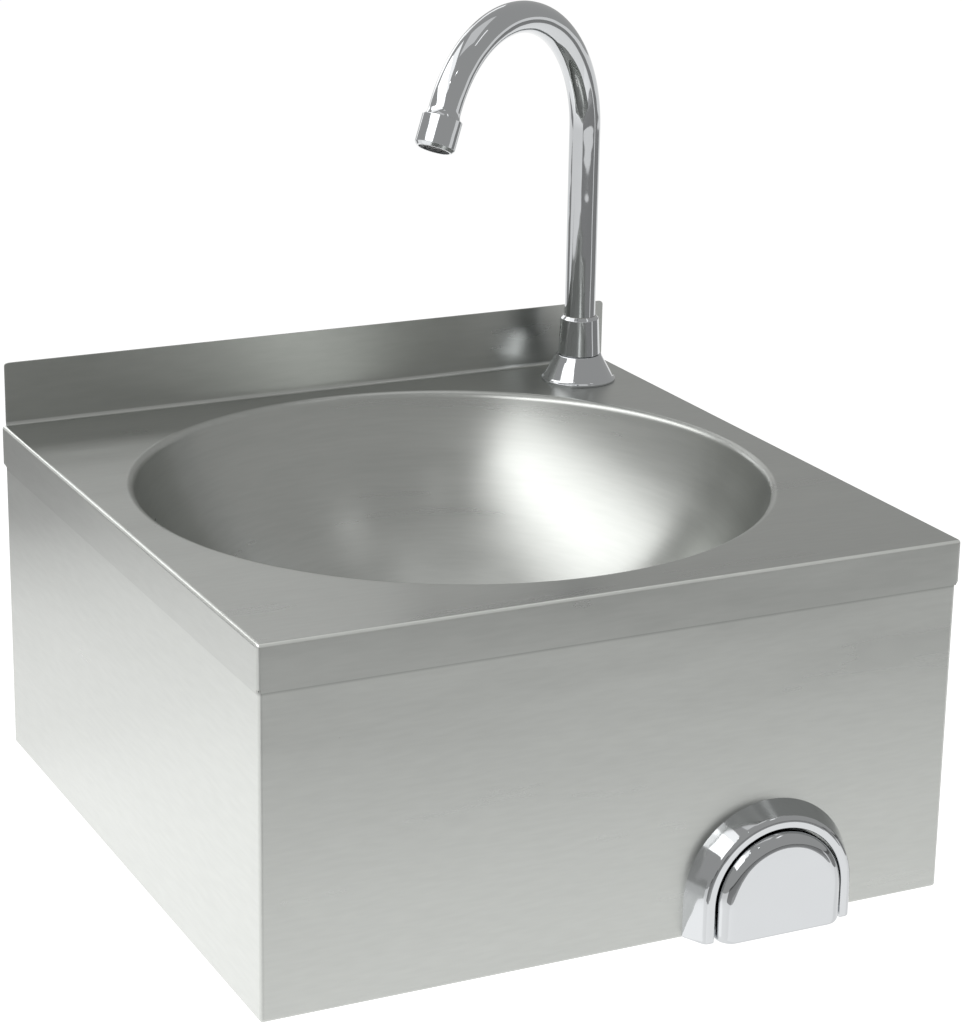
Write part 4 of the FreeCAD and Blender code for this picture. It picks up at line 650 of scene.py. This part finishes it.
def rim_arc(radius, rows):
    """Quarter round from the bowl's joint up to the deck, as (radius, height): the rim's
    centre plus radius times (cos, sin), from the way towards the sphere's centre to straight up."""
    drop = DECK_LEVEL - RIM_ROUND - BOWL_MIDDLE_Z
    start = math.atan2(-drop, -RIM_RADIUS)
    angle = np.linspace(start, math.pi / 2, rows)
    return np.stack([RIM_RADIUS + radius * np.cos(angle),
                     DECK_LEVEL - RIM_ROUND + radius * np.sin(angle)], -1)


def deck_grids():
    """Deck, rolled rim, skirt and upstand of one sheet, as grids that share their edges.

    A ring of rays leaves the bowl's middle. Each ray carries the rim's arc, then the flat to
    where it meets the flat's rectangle. On three sides that rectangle is the foot of the bend:
    a point there is the rectangle's point, plus 2 cos outwards and 2 sin up, and the skirt
    drops from it. At a front corner the outward way turns in place, which makes the bend's
    ball. Along the wall the sheet runs on as an extruded line that curves up."""
    flat = HALF - BEND
    front, back = -HALF + BEND - HALF - BOWL[1], STRIP_FRONT - BOWL[1]
    corners = [math.atan2(y, x) for x in (-flat, flat) for y in (front, back)]
    angle = np.sort(np.concatenate([np.linspace(-math.pi, math.pi, 257)[:-1], corners]))
    way = np.stack([np.cos(angle), np.sin(angle)], -1)
    to_side = flat / np.maximum(np.abs(way[:, 0]), 1e-9)
    to_end = np.where(way[:, 1] < 0, -front, back) / np.maximum(np.abs(way[:, 1]), 1e-9)
    edge = way * np.minimum(to_side, to_end)[:, None] + (0, BOWL[1])
    around = np.append(np.arange(len(angle)), 0)
    ring, edge = way[around], edge[around]

    def lifted(flat_points, height):
        return np.concatenate([flat_points, np.full(flat_points.shape[:-1] + (1,), height)], -1)

    def rim(radius):
        arc = rim_arc(radius, 14)
        return np.concatenate([arc[:, None, :1] * ring + (0, BOWL[1]),
                               np.broadcast_to(arc[:, None, 1:], (14, len(ring), 1))], -1)

    def level(height):
        inner = ring * RIM_RADIUS + (0, BOWL[1])
        step = edge - inner
        step /= np.linalg.norm(step, axis=1, keepdims=True)
        return lifted(np.stack([inner, inner + step * 0.2, edge - step * 0.2, edge]), height)

    show, hide = rim(RIM_ROUND), rim(RIM_ROUND - SHEET)
    grids = [show, level(DECK_LEVEL), hide, level(DECK_LEVEL - SHEET), np.stack([show[0], hide[0]])]

    # Columns of the skirt: left side from the wall, front, right side back to the wall
    loop = edge[:-1]
    left = loop[np.abs(loop[:, 0] + flat) < 1e-6]
    left = left[np.argsort(-left[:, 1])]
    ahead = loop[np.abs(loop[:, 1] + 2 * HALF - BEND) < 1e-6]
    ahead = ahead[np.argsort(ahead[:, 0])]
    quarter = np.radians(np.linspace(0, 90, 9))
    columns = np.vstack([[(-flat, 0.0)], left, np.repeat(left[-1:], 9, 0), ahead,
                         np.repeat(ahead[-1:], 9, 0), left[::-1] * (-1, 1), [(flat, 0.0)]])
    side_columns = len(left) + 1
    sweep = np.stack([np.cos(quarter), np.sin(quarter)], -1)
    out = np.vstack([np.tile((-1.0, 0.0), (side_columns, 1)), -sweep,
                     np.tile((0.0, -1.0), (len(ahead), 1)), sweep[:, ::-1] * (1, -1),
                     np.tile((1.0, 0.0), (side_columns, 1))])
    bend = np.radians(np.linspace(90, 0, 9))
    outer_point = columns + out * BEND
    # The skirt's lower corners are clipped on a slant, beside the front corners and at the wall
    near = np.minimum(np.abs(np.abs(outer_point[:, 0]) - HALF), np.abs(outer_point[:, 1] + 2 * HALF))
    on_corner = (np.abs(outer_point[:, 0]) > flat) & (outer_point[:, 1] < -2 * HALF + BEND)
    low = SKIRT_LOW + np.where(on_corner, np.maximum(BEND - near, 0), 0)
    low[[0, -1]] += BEND

    def skirt(radius):
        arc_out, arc_up = radius * np.cos(bend), DECK_LEVEL - BEND + radius * np.sin(bend)
        down = np.linspace(0, 1, 6)[1:, None] ** 0.5
        reach = np.concatenate([arc_out, [radius] * 6])
        upper = np.broadcast_to(arc_up[:, None], (9, len(columns)))
        support = np.full((1, len(columns)), DECK_LEVEL - BEND - 0.2)
        lower = (DECK_LEVEL - BEND - 0.2) * (1 - down) + low * down
        height = np.concatenate([upper, support, lower])
        return np.concatenate([columns + out * reach[:, None, None], height[..., None]], -1)

    outer, inner = skirt(BEND), skirt(BEND - SHEET)
    grids += [outer, inner, np.stack([outer[-1], inner[-1]]), np.stack([outer[:, 0], inner[:, 0]]),
              np.stack([outer[:, -1], inner[:, -1]])]
    grids += [np.stack([outer[0, :2], inner[0, :2]]), np.stack([outer[0, -2:], inner[0, -2:]])]

    # Upstand: the same line at both faces of the sheet, carried along the wall
    rear = loop[np.abs(loop[:, 1] - STRIP_FRONT) < 1e-6]
    share = np.sort(rear[:, 0]) / flat
    turn_up = np.radians(np.linspace(0, 90, 11))

    def upright(radius, y_wall, base):
        curve = np.stack([y_wall - radius + radius * np.sin(turn_up),
                          base + radius - radius * np.cos(turn_up)], -1)
        start = np.array([(STRIP_FRONT, base), (STRIP_FRONT + 0.2, base), (y_wall - radius - 0.2, base)])
        straight = UPSTAND_TOP - DECK_LEVEL - UPSTAND_FOOT - 0.2
        top = UPSTAND_TOP - np.array([straight, 3.0, 2.0, 1.6, 1.1, 0.6, 0.25, 0])
        line = np.vstack([start, curve, np.stack([np.full(8, y_wall), top], -1)])
        over = np.maximum(line[:, 1] - UPSTAND_TOP + BEND, 0)
        inset = BEND - np.sqrt(np.maximum(BEND ** 2 - over ** 2, 0))
        x = share[None] * (flat - inset)[:, None]
        return np.concatenate([x[..., None], np.broadcast_to(line[:, None], x.shape + (2,))], -1)

    face = upright(UPSTAND_FOOT, -SHEET, DECK_LEVEL)
    wall = upright(UPSTAND_FOOT + SHEET, 0.0, DECK_LEVEL - SHEET)
    grids += [face, wall, np.stack([face[-1], wall[-1]]), np.stack([face[:, 0], wall[:, 0]]),
              np.stack([face[:, -1], wall[:, -1]])]
    return grids


class SINK_OT_casing(bpy.types.Operator):
    """Folded deck with its upstand, the pressed bowl and the finish of the apron"""
    bl_idname = "sink.casing"
    bl_label = "Deck, bowl and apron"

    def execute(self, context):
        finish = finish_of(context)
        colour, rough = tuple(finish.steel_colour), finish.steel_roughness
        # The deck's outer bends get a painted highlight in their colour
        sheet = satin_steel("satin_steel_ground", colour, rough, shade=painted_bend_highlight)
        panel_colour = tuple(c * finish.panel_tone for c in colour)
        dress(satin_steel("satin_steel_panel", panel_colour, rough, shade=skirt_shade), "apron")
        piece("deck_folded", deck_grids(), sheet, "basin", ["deck_top"])

        def sphere(radius, foot, rows):
            # Radius times (cos, sin) about the sphere's middle, from the rim's joint to the seat
            joint = RIM_RADIUS * radius / (BOWL_SPHERE + RIM_ROUND)
            angle = np.linspace(math.acos(joint / radius), math.acos(foot / radius), rows)
            return np.stack([radius * np.cos(angle), BOWL_MIDDLE_Z - radius * np.sin(angle)], -1)

        seat = DECK_LEVEL - BOWL_DEPTH - 1.5
        inner = sphere(BOWL_SPHERE, 40.0, 90)
        outer = sphere(BOWL_SPHERE + SHEET, 40.6, 60)[::-1]
        under = seat - SHEET
        floor = np.array([
            (39.9, inner[-1, 1] - 0.1), (38.1, seat + 0.1), (38.0, seat), (37.8, seat), (27.2, seat),
            (27.0, seat), (27.0, under), (27.2, under), (38.4, under), (38.6, under),
            (40.5, outer[0, 1] - 0.1),
        ])
        profile = np.vstack([inner, floor, outer, inner[:1]])
        bowl_steel = satin_steel("satin_steel_spun", colour, rough, bowl_grain)
        piece("bowl_pressed", [turn(profile, (0, BOWL[1], 0), steps=256)], bowl_steel, "basin",
              ["bowl"])
        return {"FINISHED"}


class SINK_OT_fittings(bpy.types.Operator):
    """Finishes of the waste, the valve and the pipe"""
    bl_idname = "sink.fittings"
    bl_label = "Fittings"

    def execute(self, context):
        dress(plated("polished_stainless_steel", linear("CFCFCC"), 0.14), "waste_grid", "waste_screw",
              "waste_body")
        dress(drawn_steel(), "shank_washer", "bezel_screws", "return_spring", "spout_snap_ring",
              "supply_pipe")
        dress(plated("machined_brass", linear("D9B66A"), 0.25), "shank_backnut", "valve_front_nut",
              "valve_body", "hot_inlet_nipple", "cold_inlet_nipple", "pipe_nut_lower", "pipe_nut_upper",
              "spout_tail", "plunger", "poppet_nut")
        dress(moulded("moulded_rubber", linear("1C1C1C"), 0.6), "waste_seal_upper", "waste_seal_lower",
              "deck_seal", "shank_rubber", "spout_orings", "valve_gasket", "plunger_oring",
              "valve_poppet", "aerator_washer")
        dress(moulded("moulded_acetal", linear("2A2C2B"), 0.35), "aerator_insert", "valve_cartridge",
              "check_valves")
        dress(moulded("pressed_fibre", linear("A8552F"), 0.8), "inlet_washers", "pipe_seals")
        return {"FINISHED"}


# ---- stage ----------------------------------------------------------------------------

FLOOR_LEVEL, FLOOR_HALF = -0.8, 30.0
FLOOR_GLOW = 0.58
WORLD_GREY = "B8B8B7"
NET_COVER = 0.7
LAMP_AIM = (0, -0.2, 0.05)
CEILING_LAMPS = ((-0.95, -1.2, 2.2), (-0.35, -1.45, 2.2), (-1.45, -0.75, 2.2))

# The photograph's camera, solved from the sink's corners, rim and spout
CAMERA_AT = (-0.693145, -1.634665, 0.598171)
CAMERA_RIGHT = (0.90655353, -0.42195408, 0.01074443)
CAMERA_UP = (0.11905881, 0.28004957, 0.95257401)
CAMERA_BACK = (-0.40495146, -0.86228011, 0.30411728)
CAMERA_SENSOR, CAMERA_LENS = 36.0, 105.28
CAMERA_SHIFT = (0.05576, -0.01455)


def soft_box(name, at, towards, width, height, radiance):
    """Flat lamp of that radiance, which is its power over area and pi; the camera doesn't see it."""
    data = bpy.data.lights.new(name, "AREA")
    data.shape = "RECTANGLE"
    data.size, data.size_y = width, height
    data.energy = radiance * width * height * math.pi
    lamp = bpy.data.objects.new(name, data)
    bpy.context.scene.collection.objects.link(lamp)
    lamp.location = at
    lamp.rotation_euler = (Vector(towards) - Vector(at)).to_track_quat("-Z", "Y").to_euler()
    lamp.visible_camera = False


def board(name, points, material):
    """Flat four-cornered board of the stage."""
    mesh = bpy.data.meshes.new(name)
    mesh.from_pydata(points, [], [(0, 1, 2, 3)])
    mesh.materials.append(material)
    made = bpy.data.objects.new(name, mesh)
    bpy.context.scene.collection.objects.link(made)
    return made


def flag(name, left, right, z0, z1):
    """Upright black net that only reflections see. It gives metal the dark bands and the
    falling tones that a real studio's unlit side gives."""
    material = bpy.data.materials.get("black_net")
    if material is None:
        material, tree, output = new_material("black_net")
        thread = add(tree, "ShaderNodeBsdfDiffuse", values={"Color": (*linear("202020"), 1.0)})
        gap = add(tree, "ShaderNodeBsdfTransparent")
        net = add(tree, "ShaderNodeMixShader", values={0: NET_COVER},
                  links={1: gap.outputs[0], 2: thread.outputs[0]})
        tree.links.new(net.outputs[0], output.inputs[0])
    made = board(name, [(*left, z0), (*right, z0), (*right, z1), (*left, z1)], material)
    made.visible_camera = made.visible_diffuse = made.visible_shadow = False


class SINK_OT_stage(bpy.types.Operator):
    """White floor, soft light and the photograph's camera"""
    bl_idname = "sink.stage"
    bl_label = "Stage"

    def execute(self, context):
        scene = context.scene
        scene.view_settings.view_transform = "Standard"
        world = bpy.data.worlds.new("soft_studio")
        scene.world = world
        world.use_nodes = True
        tree = world.node_tree
        tree.nodes.clear()
        light = add(tree, "ShaderNodeBackground",
                    values={"Color": (*linear(WORLD_GREY), 1.0), "Strength": 1.0})
        add(tree, "ShaderNodeOutputWorld", links={"Surface": light.outputs[0]})

        material, tree, output = new_material("white_floor")
        ray = add(tree, "ShaderNodeLightPath")
        seen = maths(tree, "MAXIMUM",
                     links={0: ray.outputs["Is Camera Ray"], 1: ray.outputs["Is Glossy Ray"]})
        seen_all = maths(tree, "MAXIMUM", links={0: seen, 1: ray.outputs["Is Transmission Ray"]})
        strength = maths(tree, "MULTIPLY", {1: FLOOR_GLOW}, {0: seen_all})
        glow = add(tree, "ShaderNodeEmission", values={"Color": (1, 1, 1, 1)},
                   links={"Strength": strength})
        matt = add(tree, "ShaderNodeBsdfDiffuse", values={"Color": (*linear("F2F2F2"), 1.0)})
        both = add(tree, "ShaderNodeAddShader", links={0: glow.outputs[0], 1: matt.outputs[0]})
        tree.links.new(both.outputs[0], output.inputs[0])
        far, level = FLOOR_HALF, FLOOR_LEVEL
        board("floor", [(-far, -far, level), (far, -far, level), (far, far, level), (-far, far, level)],
              material)
        flag("flag_front", (-0.9, -1.25), (1.6, -1.25), -0.40, -0.02)
        flag("flag_back", (-1.1, 0.85), (-0.3, 0.85), -0.28, -0.02)
        flag("flag_right", (1.6, -1.0), (1.6, 0.3), -0.40, 0.0)
        soft_box("key_left", (-1.9, 0.1, 2.1), LAMP_AIM, 5.0, 1.1, 2.04)
        soft_box("key_above", (-1.3, 0.1, 2.5), LAMP_AIM, 4.0, 0.8, 1.18)
        soft_box("top_fill", (0.2, 0.2, 2.9), LAMP_AIM, 1.6, 1.6, 0.43)
        soft_box("wall_wash", (0.5, 2.1, 1.55), (0, -0.2, 0.1), 1.2, 0.5, 1.02)
        soft_box("wall_left", (-0.2, 2.4, 0.85), (0, -0.2, 0.1), 1.2, 0.9, 1.4)
        soft_box("front_above", (0.9, -0.8, 1.95), LAMP_AIM, 0.5, 0.15, 1.2)
        for number, place in enumerate(CEILING_LAMPS):
            soft_box(f"ceiling_lamp_{number}", place, LAMP_AIM, 0.07, 0.07, 9.0)
        soft_box("low_left", (-0.62, -0.10, -0.25), (-0.62, -0.10, 0), 0.74, 0.8, 0.2)
        soft_box("low_front", (0.55, -1.01, -0.3), (0.55, -1.01, 0), 1.3, 0.6, 0.16)

        data = bpy.data.cameras.new("photo_camera")
        camera = bpy.data.objects.new("photo_camera", data)
        scene.collection.objects.link(camera)
        turned = Matrix((CAMERA_RIGHT, CAMERA_UP, CAMERA_BACK)).transposed().to_4x4()
        camera.matrix_world = Matrix.Translation(CAMERA_AT) @ turned
        data.sensor_width, data.lens = CAMERA_SENSOR, CAMERA_LENS
        data.shift_x, data.shift_y = CAMERA_SHIFT
        scene.camera = camera
        return {"FINISHED"}


# ---- panel and registration -----------------------------------------------------------

STEPS = (SINK_OT_stage, SINK_OT_casing, SINK_OT_spout, SINK_OT_tap_foot, SINK_OT_aerator, SINK_OT_bezel,
         SINK_OT_button, SINK_OT_spring, SINK_OT_fittings)


class SINK_PT_panel(bpy.types.Panel):
    """Settings and steps of the sink"""
    bl_idname = "SINK_PT_panel"
    bl_label = "Sink"
    bl_space_type = "VIEW_3D"
    bl_region_type = "UI"
    bl_category = "Sink"

    def draw(self, context):
        for group in (context.scene.sink_finish, context.scene.sink_sizes):
            for name in group.bl_rna.properties.keys():
                if name not in ("name", "rna_type"):
                    self.layout.prop(group, name)
        for step in STEPS:
            self.layout.operator(step.bl_idname)


CLASSES = (SinkFinish, SinkSizes) + STEPS + (SINK_PT_panel,)


def register():
    for item in CLASSES:
        bpy.utils.register_class(item)
    bpy.types.Scene.sink_finish = PointerProperty(type=SinkFinish)
    bpy.types.Scene.sink_sizes = PointerProperty(type=SinkSizes)


def unregister():
    del bpy.types.Scene.sink_sizes
    del bpy.types.Scene.sink_finish
    for item in reversed(CLASSES):
        bpy.utils.unregister_class(item)


def main():
    register()
    for step in STEPS:
        group, name = step.bl_idname.split(".")
        getattr(getattr(bpy.ops, group), name)()


if __name__ == "__main__":
    main()
